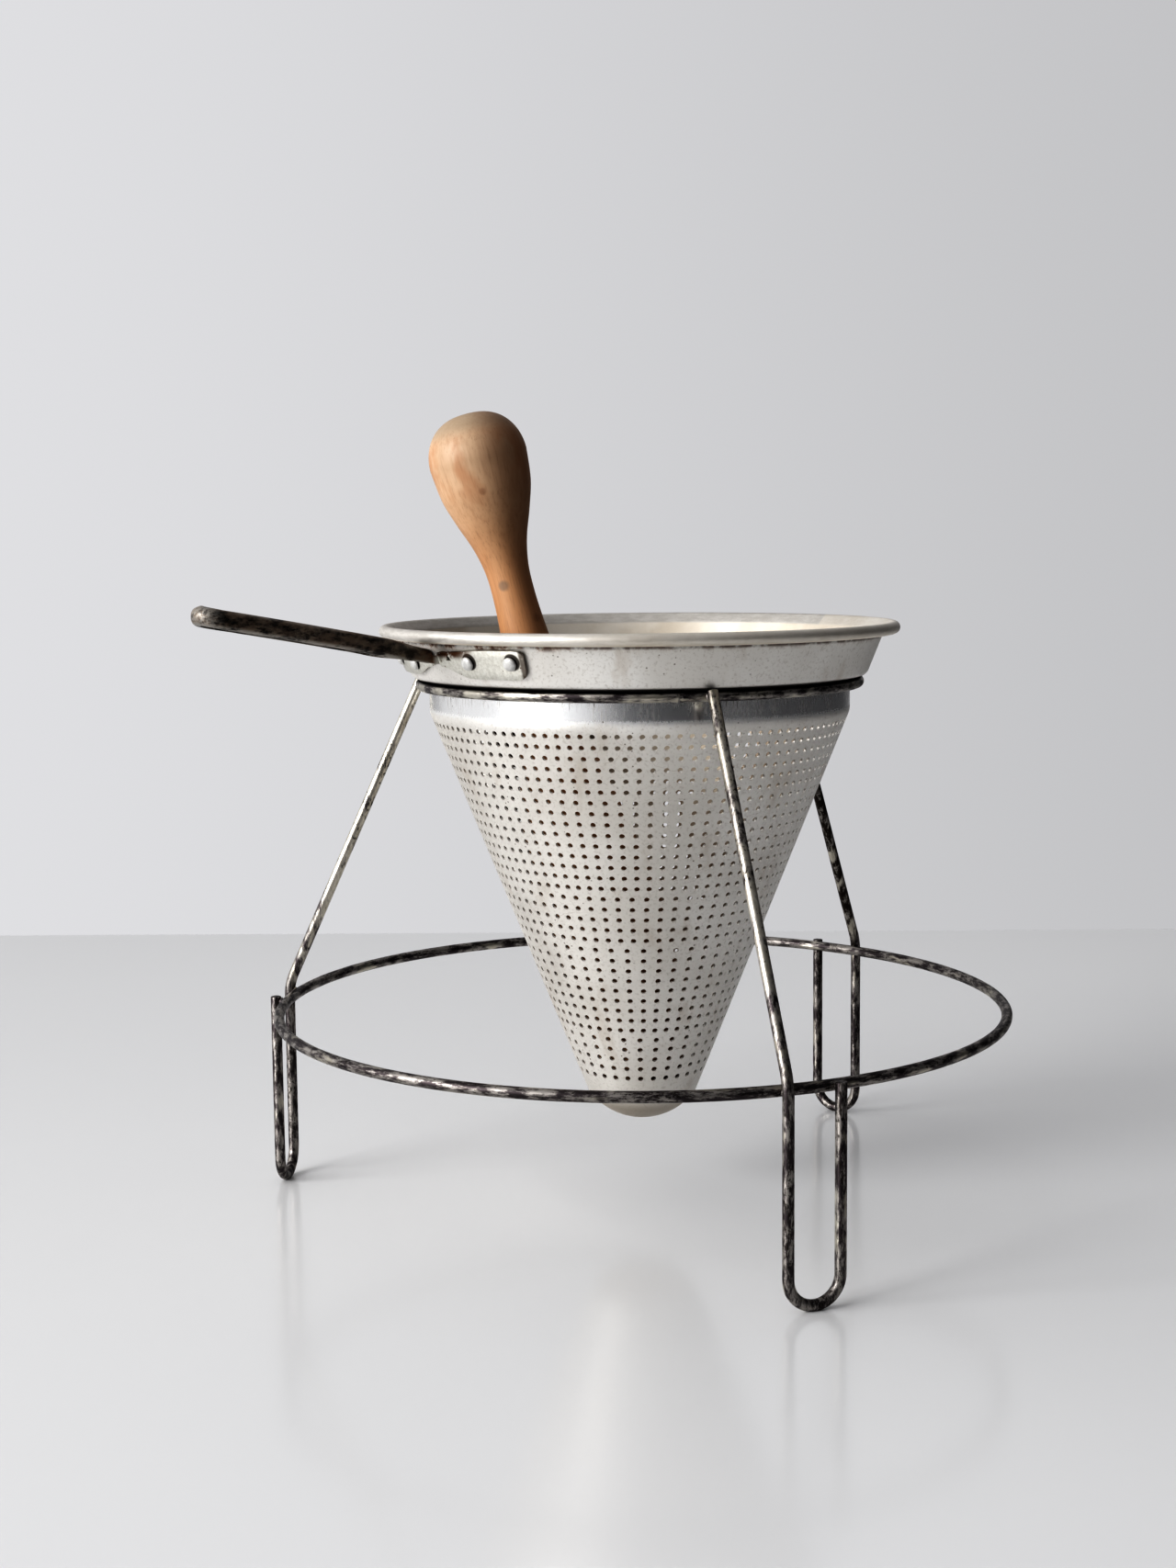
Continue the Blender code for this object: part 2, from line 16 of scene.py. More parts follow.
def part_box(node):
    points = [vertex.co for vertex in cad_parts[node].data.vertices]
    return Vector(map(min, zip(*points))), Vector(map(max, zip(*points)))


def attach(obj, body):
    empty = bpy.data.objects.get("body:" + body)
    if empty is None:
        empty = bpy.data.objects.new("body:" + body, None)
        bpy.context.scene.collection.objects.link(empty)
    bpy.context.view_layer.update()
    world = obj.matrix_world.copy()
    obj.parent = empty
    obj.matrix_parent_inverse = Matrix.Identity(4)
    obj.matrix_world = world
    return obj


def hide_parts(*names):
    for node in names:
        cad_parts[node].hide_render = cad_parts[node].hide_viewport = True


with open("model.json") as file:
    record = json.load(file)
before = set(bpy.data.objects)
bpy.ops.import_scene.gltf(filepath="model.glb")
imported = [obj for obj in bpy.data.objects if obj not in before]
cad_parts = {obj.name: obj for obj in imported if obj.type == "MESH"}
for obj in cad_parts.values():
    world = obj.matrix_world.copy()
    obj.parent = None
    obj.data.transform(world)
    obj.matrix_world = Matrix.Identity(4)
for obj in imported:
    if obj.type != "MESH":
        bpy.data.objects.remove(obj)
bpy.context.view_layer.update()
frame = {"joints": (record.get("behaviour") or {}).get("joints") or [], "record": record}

MM = 0.001
GAP = 0.3 * MM  # left between two pieces that touch

# Places that the frame gives.
JOINTS = {joint["name"]: joint for joint in frame["joints"]}
AXIS = Vector((JOINTS["pestle_roll"]["pos_m"][0], JOINTS["pestle_roll"]["pos_m"][1], 0))
MOUNTS = frame["record"]["mounts"]
FEET = [Vector(mount["pos_m"]) - AXIS for mount in MOUNTS if mount["name"].startswith("foot")]
LEG_ANGLES = [math.atan2(foot.y, foot.x) for foot in FEET]
LEG_AGES = (1.0, 0.05, 0.45)  # how far each leg has blackened
PESTLE_AXIS = Vector(JOINTS["pestle_lift"]["axis"]).normalized()
RIM_RADIUS = (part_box("sieve_body")[1].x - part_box("sieve_body")[0].x) / 2
HANDLE_REACH = AXIS.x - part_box("handle")[0].x

# Sieve: spun sheet. A wall's radius and height are those of its outer face.
SHEET = 0.8 * MM
CONE_ANGLE = math.radians(21.68)  # the wall's angle from the axis
CONE_OUT = Vector((math.cos(CONE_ANGLE), -math.sin(CONE_ANGLE)))
TIP_HEIGHT = 30.6 * MM
CREASE_RADIUS = 21.2 * MM
CREASE_HEIGHT = 41.5 * MM
STRIP_RADIUS = 81.05 * MM
SHOULDER_HEIGHT = 205.3 * MM
BAND_RADIUS = 87.27 * MM  # at the shoulder's height
BEAD_RADIUS = 2.3 * MM
BEAD_HEIGHT = 223.5 * MM
BEAD_FOOT = 221.0 * MM  # the rolled rim is seen from here up
BEAD_START = math.radians(135)
BEAD_TURN = math.radians(295)
RIM_WIRE_RADIUS = 1.2 * MM

# Holes: rows from the top down, in blocks of (rows, holes in each, angle of one hole).
HOLE_RADIUS = 1.03 * MM
HOLE_SIDES = 12
HOLE_TOP = 188.47 * MM
HOLE_PITCH = 4.146 * MM
HOLE_BLOCKS = (
    (2, 112, math.radians(5.2)),
    (4, 96, math.radians(3.8)),
    (9, 80, math.radians(6.35)),
    (5, 64, math.radians(4.4)),
    (9, 48, math.radians(8.85)),
    (5, 32, math.radians(6.5)),
)
BLOCK_SEAM = 0.25 * MM  # half the height of the strip between two blocks
STRIP_BOTTOM = 191.5 * MM  # the polished strip above the holes
STRIP_TOP = 203.5 * MM

# Handle: a pressed channel, open below, whose walls turn out into two wings on the band.
SKIN = 1.2 * MM
HANDLE_ROOT = 92.4 * MM
HANDLE_ROOT_HEIGHT = 215.8 * MM
HANDLE_SLOPE = 0.204
HANDLE_CURVE = 0.17  # loss of height per metre squared
HANDLE_DEPTH = 6.6 * MM
HANDLE_WIDTH = 16.0 * MM
NECK_DEPTH = 5.2 * MM
NECK_WIDTH = 5.6 * MM
NECK_LENGTH = 22.0 * MM
WEB_END = 95.3 * MM  # the top of the channel stops here, and its walls go on
NOSE_LENGTH = 8.0 * MM
ROLL_BEND = 1.3 * MM  # the lower edges are rolled in
ROLL_TURN = math.radians(115)
ROLL_STEPS = 6
SHOULDER_BEND = 2.0 * MM
WING_BEND = 1.3 * MM
WING_ANGLE = math.radians(27.2)
WING_ROOT = math.radians(1.5)  # the wings widen from here outwards
WING_ROOT_BOTTOM = 213.4 * MM
WING_BOTTOM = 209.3 * MM
WING_BOTTOM_REACH = math.radians(10.5)
WING_ROOT_TOP = 218.4 * MM
WING_TOP = 219.8 * MM
WING_TOP_REACH = math.radians(18)
WING_CORNER = math.radians(2.2)
WING_ROWS = 5  # points across a wing
FOLD_ANGLE = math.radians(3.2)  # the wing lies flat on the band from here outwards
NOTCH = (math.radians(5.4), 216.4 * MM, 1.6 * MM)  # the opening in each fold: angle, height, size
WING_OFFSET = GAP + 0.05 * MM + SKIN / 2
HANG_HOLE_RADIUS = 3.5 * MM
HANG_HOLE_INSET = 13.0 * MM
HANDLE_BEVEL = 0.22 * MM
# How far the cutters reach on both sides of the metal.
DRILL_REACH = 5 * MM
NOTCH_REACH = 4 * MM
HANG_HOLE_REACH = 9 * MM

# Rivets, as (angle from the handle's direction, height).
RIVETS = (
    (math.radians(-23.5), 214.5 * MM),
    (math.radians(-10.9), 213.8 * MM),
    (math.radians(11.7), 215.0 * MM),
    (math.radians(23.6), 215.3 * MM),
)
SHANK_RADIUS = 1.5 * MM
HEAD_RADIUS = 2.6 * MM
HEAD_HEIGHT = 1.4 * MM
TAIL_HEIGHT = 0.9 * MM
# The painted shadows round the rivets are shifted this far to one side, away from the light.
RIVET_SHADOW_SHIFT = 0.009  # radians
PAINTED_LIGHT_SIDE = math.radians(192)  # painted light falls most on the cone's inside at this angle from the handle

# Stand: one size of wire all through.
WIRE_RADIUS = 2.05 * MM
TOP_RING_RADIUS = 84.38 * MM
TOP_RING_HEIGHT = 202.95 * MM
BOTTOM_RING_RADIUS = 141.5 * MM
BOTTOM_RING_HEIGHT = 75.5 * MM
BUTT_WELD = math.radians(-117.8)  # polar angle of the joint in the top ring
LEG_TOP = 205.0 * MM
LEG_TOP_RADIUS = 88.7 * MM
LEG_KNEE_HEIGHT = 78.5 * MM
LEG_KNEE_BEND = 22.0 * MM
FOOT_HALF_WIDTH = 9.86 * MM
FOOT_FLAT = 0.25 * MM
RETURN_TOP = 77.5 * MM
WIRE_SIDES = 20
END_EDGE = 0.25 * MM  # rounding of the cut ends
# Weld beads on a leg, in its own frame: place and half sizes.
WELD_BEADS = (
    (
        (TOP_RING_RADIUS + WIRE_RADIUS - 0.5 * MM, -FOOT_HALF_WIDTH, TOP_RING_HEIGHT),
        (1.3 * MM, 1.7 * MM, 1.7 * MM),
    ),
    (
        (BOTTOM_RING_RADIUS + WIRE_RADIUS, -FOOT_HALF_WIDTH, BOTTOM_RING_HEIGHT),
        (1.2 * MM, 1.7 * MM, 1.7 * MM),
    ),
    (
        (BOTTOM_RING_RADIUS + WIRE_RADIUS, FOOT_HALF_WIDTH, BOTTOM_RING_HEIGHT),
        (1.2 * MM, 1.7 * MM, 1.6 * MM),
    ),
)

# Pestle: turned wood.
PESTLE_LENGTH = 283.2 * MM
CROWN_DROP = 1.2 * MM  # the crown is a little flatter than the solid's
PESTLE_CROSSING = 43.7 * MM  # height where its axis crosses the cone's axis
ROLLER_GAP = 0.45 * MM  # left between the roller and the cone's wall
PESTLE_END = 11.9 * MM  # its lower end lies this far below the crossing, along its axis

# Bruises on the pestle, from its lower end: place, size, colour and strength.
WOOD_SPOTS = (
    (Vector((-6.7, -4.6, 215.1)) * MM, 2.3 * MM, (0.22, 0.17, 0.13), 0.6),
    (Vector((2.3, -8.4, 200.2)) * MM, 2.6 * MM, (0.16, 0.07, 0.03), 0.45),
    (Vector((-11.0, -13.5, 251.4)) * MM, 1.8 * MM, (0.25, 0.12, 0.06), 0.5),
)
PAINTED_SHADE_SIDE = Vector((0.92, -0.39))  # the side of the pestle darkened by painted shade, seen along it

# The camera stands at this angle of turn from the frame's -Y.
VIEW_TURN = math.radians(-37.3)

COLLECTION = bpy.context.scene.collection


# ---------------------------------------------------------------- making pieces


def polar(radius, angle, height):
    return Vector((radius * math.cos(angle), radius * math.sin(angle), height))


def seen_from_camera(right, away, up):
    """A direction, or a distance from the cone's axis, turned from the camera's sides."""
    return Matrix.Rotation(VIEW_TURN, 3, "Z") @ Vector((right, away, up))


def mesh_from(name, points, faces, sharp_angle=35.0):
    mesh = bpy.data.meshes.new(name)
    mesh.from_pydata(points, [], faces)
    mesh.validate()
    shade(mesh, sharp_angle)
    return mesh


def mark_wire(mesh, places):
    """Keeps each point's place on its hoop, as (distance along it, and two across it)."""
    kept = mesh.attributes.new("wire_place", "FLOAT_VECTOR", "POINT")
    kept.data.foreach_set("vector", np.array(places, np.float32).ravel())
    return mesh


def shade(mesh, sharp_angle):
    mesh.shade_smooth()
    mesh.set_sharp_from_angle(angle=math.radians(sharp_angle))


def poured(shape, mesh):
    """Puts the shape in the mesh and lets it go."""
    shape.to_mesh(mesh)
    shape.free()
    return mesh


def outward(mesh):
    shape = bmesh.new()
    shape.from_mesh(mesh)
    bmesh.ops.recalc_face_normals(shape, faces=shape.faces)
    return poured(shape, mesh)


def place(name, mesh, matrix=None):
    """A new object, standing on the cone's axis unless it is given its own place."""
    obj = bpy.data.objects.new(name, mesh)
    obj.matrix_world = Matrix.Translation(AXIS) @ (matrix or Matrix.Identity(4))
    COLLECTION.objects.link(obj)
    return obj


def modify(obj, kind, **settings):
    modifier = obj.modifiers.new(kind.title(), kind)
    for name, value in settings.items():
        setattr(modifier, name, value)
    return modifier


def cut(obj, helpers, operation="DIFFERENCE"):
    for helper in helpers:
        modify(obj, "BOOLEAN", operation=operation, object=helper, solver="EXACT")


def settle(obj, helpers=(), sharp_angle=35.0):
    """Applies the object's modifiers and removes the helpers that they used."""
    bpy.context.view_layer.update()
    graph = bpy.context.evaluated_depsgraph_get()
    mesh = bpy.data.meshes.new_from_object(obj.evaluated_get(graph), depsgraph=graph)
    obj.modifiers.clear()
    obj.data = mesh
    mesh.name = obj.name
    shade(mesh, sharp_angle)
    for helper in helpers:
        bpy.data.objects.remove(helper, do_unlink=True)


def dress(obj, body, node, slot, *finishes):
    """Gives a piece its finishes and its body, and hides the CAD node that it stands for."""
    if finishes:
        obj.data.materials.clear()
        for finish in finishes:
            obj.data.materials.append(finish)
    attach(obj, body)
    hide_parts(node)


# ---------------------------------------------------------------- outlines


def smooth_step(value):
    value = min(max(value, 0.0), 1.0)
    return value * value * (3 - 2 * value)


def filleted(corners, step):
    """A path through (point, bend radius) corners; a bend has points every step radians."""
    path = [corners[0][0]]
    for (before, _), (corner, radius), (after, _) in zip(corners, corners[1:], corners[2:]):
        arrive = (corner - before).normalized()
        leave = (after - corner).normalized()
        turn = arrive.angle(leave)
        start = corner - arrive * radius * math.tan(turn / 2)
        inward = (leave - arrive * arrive.dot(leave)).normalized()
        centre = start + inward * radius
        count = max(2, math.ceil(turn / step))
        for number in range(count + 1):
            angle = turn * number / count
            aside = inward * radius * math.cos(angle)
            path.append(centre - aside + arrive * radius * math.sin(angle))
    path.append(corners[-1][0])
    return path


def smooth_curve(knots, cuts):
    """A Catmull-Rom curve through the knots, with cuts pieces between two of them."""
    curve = []
    for index in range(len(knots) - 1):
        before = knots[max(index - 1, 0)]
        start = knots[index]
        end = knots[index + 1]
        after = knots[min(index + 2, len(knots) - 1)]
        for number in range(cuts):
            t = number / cuts
            straight = (end - before) * t
            square = (2 * before - 5 * start + 4 * end - after) * t**2
            cube = (3 * start - before - 3 * end + after) * t**3
            curve.append(0.5 * (2 * start + straight + square + cube))
    return curve + [knots[-1]]


def turned(name, outline, steps, sharp_angle=35.0):
    """Solid of revolution of a closed (radius, height) outline; points on the axis become poles."""
    points = []
    rows = []
    for spot in outline:
        if abs(spot[0]) < 1e-7:
            rows.append([len(points)] * steps)
            points.append(Vector((0, 0, spot[1])))
            continue
        rows.append(list(range(len(points), len(points) + steps)))
        points += [polar(spot[0], 2 * math.pi * step / steps, spot[1]) for step in range(steps)]
    faces = []
    for row, following in zip(rows, rows[1:] + rows[:1]):
        if row[0] == row[1] and following[0] == following[1]:
            continue
        for step in range(steps):
            beside = (step + 1) % steps
            corners = [row[step], row[beside], following[beside], following[step]]
            faces.append(list(dict.fromkeys(corners)))
    return outward(mesh_from(name, points, faces, sharp_angle))


def cutter(name, radius, reach, sides, matrix):
    """A helper that bores a hole, as deep as its reach on both sides of its own origin."""
    corners = ((0, -reach), (radius, -reach), (radius, reach), (0, reach))
    return place(name, turned(name, [Vector(corner) for corner in corners], sides), matrix)


def loft(name, rings, closed):
    """A skin over rings of points, closed into a hoop or with a flat cap on each end."""
    sides = len(rings[0])
    points = [point for ring in rings for point in ring]
    faces = []
    for index in range(len(rings) if closed else len(rings) - 1):
        here = index * sides
        there = (index + 1) % len(rings) * sides
        for side in range(sides):
            beside = (side + 1) % sides
            faces.append([here + side, here + beside, there + beside, there + side])
    if not closed:
        faces += [list(range(sides)), list(range(len(points) - sides, len(points)))]
    return outward(mesh_from(name, points, faces, 60.0))


# ---------------------------------------------------------------- sieve


def cone_radius(height):
    return CREASE_RADIUS + (height - CREASE_HEIGHT) * math.tan(CONE_ANGLE)


def band_radius(height):
    """Radius of the band's outer face."""
    return BAND_RADIUS + (height - SHOULDER_HEIGHT) * math.tan(CONE_ANGLE)


def upper_middle_line():
    """The line half-way through the sheet, as (radius, height), from the holes to the rim."""
    half = SHEET / 2
    aside = half / math.cos(CONE_ANGLE)
    strip_start = CREASE_HEIGHT + (STRIP_RADIUS - CREASE_RADIUS) / math.tan(CONE_ANGLE)
    shoulder = SHOULDER_HEIGHT + half
    bead = Vector((RIM_RADIUS - BEAD_RADIUS, BEAD_HEIGHT))
    curl = BEAD_RADIUS - half
    curl_start = bead + curl * Vector((math.cos(BEAD_START), math.sin(BEAD_START)))
    slope = math.tan(CONE_ANGLE)
    band_foot = band_radius(shoulder) - aside
    flare = (curl_start.x - curl_start.y - band_foot + slope * shoulder) / (slope - 1)
    start = HOLE_TOP + HOLE_PITCH / 2
    corners = [
        (Vector((cone_radius(start), start)) - CONE_OUT * half, 0),
        (Vector((STRIP_RADIUS - half, strip_start)), 6 * MM),
        (Vector((STRIP_RADIUS - half, shoulder)), 1.6 * MM),
        (Vector((band_foot, shoulder)), 2.8 * MM),
        (Vector((band_foot + slope * (flare - shoulder), flare)), 2.0 * MM),
        (curl_start, 0),
    ]
    line = filleted(corners, math.radians(14))
    steps = 20
    for number in range(1, steps + 1):
        angle = BEAD_START - BEAD_TURN * number / steps
        line.append(bead + curl * Vector((math.cos(angle), math.sin(angle))))
    return line


def lower_middle_line():
    """The line half-way through the sheet below the holes, from the last row down to the tip."""
    half = SHEET / 2
    rise = CREASE_HEIGHT - TIP_HEIGHT
    dome = (CREASE_RADIUS**2 + rise**2) / (2 * rise)
    dome_edge = math.asin(CREASE_RADIUS / dome)
    rows = sum(block[0] for block in HOLE_BLOCKS)
    start = HOLE_TOP - HOLE_PITCH * (rows - 0.5)
    corners = [
        (Vector((cone_radius(start), start)) - CONE_OUT * half, 0),
        (Vector((CREASE_RADIUS, CREASE_HEIGHT)) - CONE_OUT * half, 1.5 * MM),
    ]
    arc = []
    for number in range(9, -1, -1):
        angle = dome_edge * number / 10
        height = TIP_HEIGHT + dome - (dome - half) * math.cos(angle)
        arc.append(Vector(((dome - half) * math.sin(angle), height)))
    return filleted(corners + [(arc[0], 0)], math.radians(15)) + arc[1:]


class Sheet:
    """Collects the points and faces of the two sides of a turned sheet."""

    def __init__(self):
        self.points = []
        self.faces = []
        self.inside = []

    def ring(self, spot, angles):
        """A circle of points at a (radius, height), as an array of their numbers."""
        first = len(self.points)
        self.points += [polar(spot[0], angle, spot[1]) for angle in angles]
        return np.arange(first, len(self.points))

    def add(self, corners, inner):
        """One face for each row of an array of corners; the inner side's faces are turned round."""
        rows = corners[:, ::-1] if inner else corners
        self.faces += rows.tolist()
        self.inside += [int(inner)] * len(rows)

    def strip(self, lower, upper, inner):
        columns = [lower, np.roll(lower, -1), np.roll(upper, -1), upper]
        self.add(np.stack(columns, axis=1), inner)

    def zipper(self, lower, lower_angle, upper, upper_angle, inner):
        """Triangles between two circles with different numbers of points."""
        step = 2 * math.pi / len(upper)
        skipped = round((lower_angle - upper_angle) / step)
        upper = np.roll(upper, -skipped)
        upper_angle += skipped * step
        low = high = 0
        corners = []
        while low < len(lower) or high < len(upper):
            next_low = lower_angle + 2 * math.pi * (low + 1) / len(lower)
            next_high = upper_angle + step * (high + 1)
            here, there = lower[low % len(lower)], upper[high % len(upper)]
            if high == len(upper) or (low < len(lower) and next_low <= next_high):
                low += 1
                corners.append((here, lower[low % len(lower)], there))
            else:
                high += 1
                corners.append((here, upper[high % len(upper)], there))
        self.add(np.array(corners), inner)


def sides_of(line):
    """Outward side at each point of a middle line that runs upward."""
    sides = []
    for index in range(len(line)):
        along = (line[min(index + 1, len(line) - 1)] - line[max(index - 1, 0)]).normalized()
        sides.append(Vector((along.y, -along.x)))
    return sides


def hole_ring(sheet, height, angles, depth):
    """The edge points of one row of holes on one side of the sheet, as (hole, point) numbers."""
    turn = 2 * math.pi * np.arange(HOLE_SIDES) / HOLE_SIDES
    spots_z = height + HOLE_RADIUS * np.sin(turn) * math.cos(CONE_ANGLE)
    spots_r = CREASE_RADIUS + (spots_z - CREASE_HEIGHT) * math.tan(CONE_ANGLE)
    swing = HOLE_RADIUS * np.cos(turn) / cone_radius(height)
    spots_r = spots_r - depth * CONE_OUT.x
    spots_z = spots_z - depth * CONE_OUT.y
    first = len(sheet.points)
    for angle in angles:
        sheet.points += [polar(r, angle + s, z) for r, s, z in zip(spots_r, swing, spots_z)]
    return np.arange(first, len(sheet.points)).reshape(len(angles), HOLE_SIDES)


def cell_faces(low, middle, high, holes):
    """The faces between one row of holes and the cells around them.

    low and high are the circles under and over the row, two points to a cell, and middle is
    the circle of points between neighbouring holes.
    """
    bottom_left, bottom, bottom_right = low[0::2], low[1::2], np.roll(low, -2)[0::2]
    top_left, top, top_right = high[0::2], high[1::2], np.roll(high, -2)[0::2]
    left, right = middle, np.roll(middle, -1)
    sides = (
        (right, top_right, top),
        (top, top_left, left),
        (left, bottom_left, bottom),
        (bottom, bottom_right, right),
    )
    quarter = HOLE_SIDES // 4
    quads = []
    triangles = []
    for number, (start, corner, end) in enumerate(sides):
        edge = [holes[:, (number * quarter + step) % HOLE_SIDES] for step in range(quarter + 1)]
        quads.append(np.stack([start, corner, edge[1], edge[0]], axis=1))
        triangles.append(np.stack([corner, edge[2], edge[1]], axis=1))
        quads.append(np.stack([corner, end, edge[3], edge[2]], axis=1))
    return np.concatenate(quads), np.concatenate(triangles)


def cell_angles(count, phase):
    """Two angles to each hole of a row: the first between two holes, the second at a hole."""
    start = phase - math.pi / count
    return [start + math.pi * number / count for number in range(2 * count)]


def cone_ring(sheet, height, angles, depth):
    """A circle on the cone's wall, at a depth under its outer face."""
    return sheet.ring(Vector((cone_radius(height), height)) - CONE_OUT * depth, angles)


def perforated(sheet):
    """The cone's wall with its holes. Returns the highest and the lowest circles of both sides."""
    ends = []
    walls = []
    for depth, inner in ((0, False), (SHEET, True)):
        height = HOLE_TOP
        above = None
        rings = []
        for block, (rows, count, phase) in enumerate(HOLE_BLOCKS):
            angles = cell_angles(count, phase)
            top_seam = BLOCK_SEAM if block else 0
            bottom_seam = BLOCK_SEAM if block < len(HOLE_BLOCKS) - 1 else 0
            high = cone_ring(sheet, height + HOLE_PITCH / 2 - top_seam, angles, depth)
            if above is None:
                ends.append(high)
            else:
                sheet.zipper(high, angles[0], *above, inner)
            for row in range(rows):
                seam = bottom_seam if row == rows - 1 else 0
                low = cone_ring(sheet, height - HOLE_PITCH / 2 + seam, angles, depth)
                middle = cone_ring(sheet, height, angles[0::2], depth)
                holes = hole_ring(sheet, height, angles[1::2], depth)
                for faces in cell_faces(low, middle, high, holes):
                    sheet.add(faces, inner)
                rings.append(holes)
                high = low
                height -= HOLE_PITCH
            above = (high, angles[0])
        ends.append(high)
        walls.append(rings)
    for outer, inner in zip(*walls):
        following = [np.roll(outer, -1, axis=1), np.roll(inner, -1, axis=1)]
        corners = [outer, following[0], following[1], inner]
        sheet.add(np.stack([corner.ravel() for corner in corners], axis=1), False)
    return ends


def carry_on(sheet, circles, spots, block, downward):
    """Takes the (outer, inner) circles on through a list of (middle point, outward side)."""
    angles = cell_angles(*block[1:])
    for spot, side in spots:
        following = [sheet.ring(spot + side * SHEET / 2 * way, angles) for way in (1, -1)]
        for inner, (circle, after) in enumerate(zip(circles, following)):
            lower, upper = (after, circle) if downward else (circle, after)
            sheet.strip(lower, upper, inner)
        circles = following
    return circles


def make_sieve(finishes):
    sheet = Sheet()
    outer_top, outer_bottom, inner_top, inner_bottom = perforated(sheet)

    line = upper_middle_line()
    spots = list(zip(line, sides_of(line)))[1:]
    outer, inner = carry_on(sheet, (outer_top, inner_top), spots, HOLE_BLOCKS[0], False)
    sheet.strip(outer, inner, False)

    line = lower_middle_line()
    spots = [(spot, -side) for spot, side in zip(line, sides_of(line))][1:-1]
    circles = carry_on(sheet, (outer_bottom, inner_bottom), spots, HOLE_BLOCKS[-1], True)
    for inner, (last, depth) in enumerate(zip(circles, (-SHEET / 2, SHEET / 2))):
        pole = sheet.ring(Vector((0, line[-1].y + depth)), [0])[0]
        corners = [np.full(len(last), pole), np.roll(last, -1), last]
        sheet.add(np.stack(corners, axis=1), inner)

    mesh = mesh_from("spun_sieve", sheet.points, sheet.faces)
    dress(place("spun_sieve", mesh), "sieve", "sieve_body", "aluminium", *finishes)
    mesh.polygons.foreach_set("material_index", sheet.inside)


# ---------------------------------------------------------------- wires


def tube(name, path, radius, sides, across, floor):
    """A round wire with rounded cut ends, which doesn't go below the floor."""
    start, end = (path[1] - path[0]).normalized(), (path[-1] - path[-2]).normalized()
    edge = END_EDGE
    stations = [(path[0], radius - edge), (path[0] + start * edge * 0.3, radius - edge * 0.3)]
    stations += [(path[0] + start * edge, radius)]
    stations += [(spot, radius) for spot in path[1:-1]]
    stations += [(path[-1] - end * edge, radius)]
    stations += [(path[-1] - end * edge * 0.3, radius - edge * 0.3), (path[-1], radius - edge)]
    rings = []
    for index, (spot, size) in enumerate(stations):
        before, after = stations[max(index - 1, 0)], stations[min(index + 1, len(stations) - 1)]
        along = (after[0] - before[0]).normalized()
        across = (across - along * across.dot(along)).normalized()
        third = along.cross(across)
        rings.append([])
        for side in range(sides):
            angle = 2 * math.pi * side / sides
            corner = spot + size * (across * math.cos(angle) + third * math.sin(angle))
            corner.z = max(corner.z, floor)
            rings[-1].append(corner)
    return loft(name, rings, False)


def upset(away):
    """How much thicker a wire is at a distance from its butt weld: a slight ridge with a groove."""
    away /= MM
    return (0.22 * math.exp(-((away / 1.3) ** 2)) - 0.34 * math.exp(-((away / 0.38) ** 2))) * MM


def hoop(name, radius, height, wire, steps, sides, joint, welded=False):
    """A hoop of round wire, which can show the weld where its ends meet."""
    rings = []
    places = []
    for step in range(steps):
        angle = joint + 2 * math.pi * step / steps
        size = wire
        if welded:
            size += upset(min(step, steps - step) * 2 * math.pi * radius / steps)
        rings.append([])
        for side in range(sides):
            turn = 2 * math.pi * side / sides
            out, up = math.cos(turn), math.sin(turn)
            rings[-1].append(polar(radius + size * out, angle, height + size * up))
            places.append((radius * (angle - joint), wire * out, wire * up))
    return mark_wire(loft(name, rings, True), places)


def leg_path(foot_radius):
    """The leg's wire, in its own frame: x outward from the cone's axis, y across, z up."""
    slope = (foot_radius - LEG_TOP_RADIUS) / (TOP_RING_HEIGHT - LEG_KNEE_HEIGHT)
    top_x = LEG_TOP_RADIUS - slope * (LEG_TOP - TOP_RING_HEIGHT)
    foot_centre = FOOT_HALF_WIDTH + WIRE_RADIUS - FOOT_FLAT
    corners = [
        (Vector((top_x, -FOOT_HALF_WIDTH, LEG_TOP)), 0),
        (Vector((foot_radius, -FOOT_HALF_WIDTH, LEG_KNEE_HEIGHT)), LEG_KNEE_BEND),
        (Vector((foot_radius, -FOOT_HALF_WIDTH, foot_centre)), 0),
    ]
    path = filleted(corners, math.radians(2))
    bends = 28
    for number in range(1, bends + 1):
        angle = math.pi + math.pi * number / bends
        across = FOOT_HALF_WIDTH * math.cos(angle)
        path.append(Vector((foot_radius, across, foot_centre + FOOT_HALF_WIDTH * math.sin(angle))))
    path.append(Vector((foot_radius, FOOT_HALF_WIDTH, RETURN_TOP)))
    return path


def weld_bead(spot, size, turn):
    """A small squashed ball of metal between two wires."""
    shape = bmesh.new()
    bmesh.ops.create_icosphere(shape, subdivisions=3, radius=1.0)
    for vertex in shape.verts:
        vertex.co *= 1 + 0.10 * noise.noise(vertex.co * 1.7 + spot * 300)
        vertex.co = Vector(vertex.co[axis] * size[axis] for axis in range(3))
    mesh = poured(shape, bpy.data.meshes.new("bead"))
    return place("bead", mesh, Matrix.Rotation(turn, 4, "Z") @ Matrix.Translation(spot))


def make_leg(number, foot, finish):
    turn = LEG_ANGLES[number - 1]
    path = leg_path(math.hypot(foot.x, foot.y))
    mesh = tube("leg", path, WIRE_RADIUS, WIRE_SIDES, Vector((1, 0, 0)), 0.0)
    leg = place(f"leg_wire_{number}", mesh, Matrix.Rotation(turn, 4, "Z"))
    beads = [weld_bead(Vector(spot), size, turn) for spot, size in WELD_BEADS]
    cut(leg, beads, "UNION")
    settle(leg, beads, 60.0)
    dress(leg, "stand", f"leg_{number}", "wire_steel", finish)


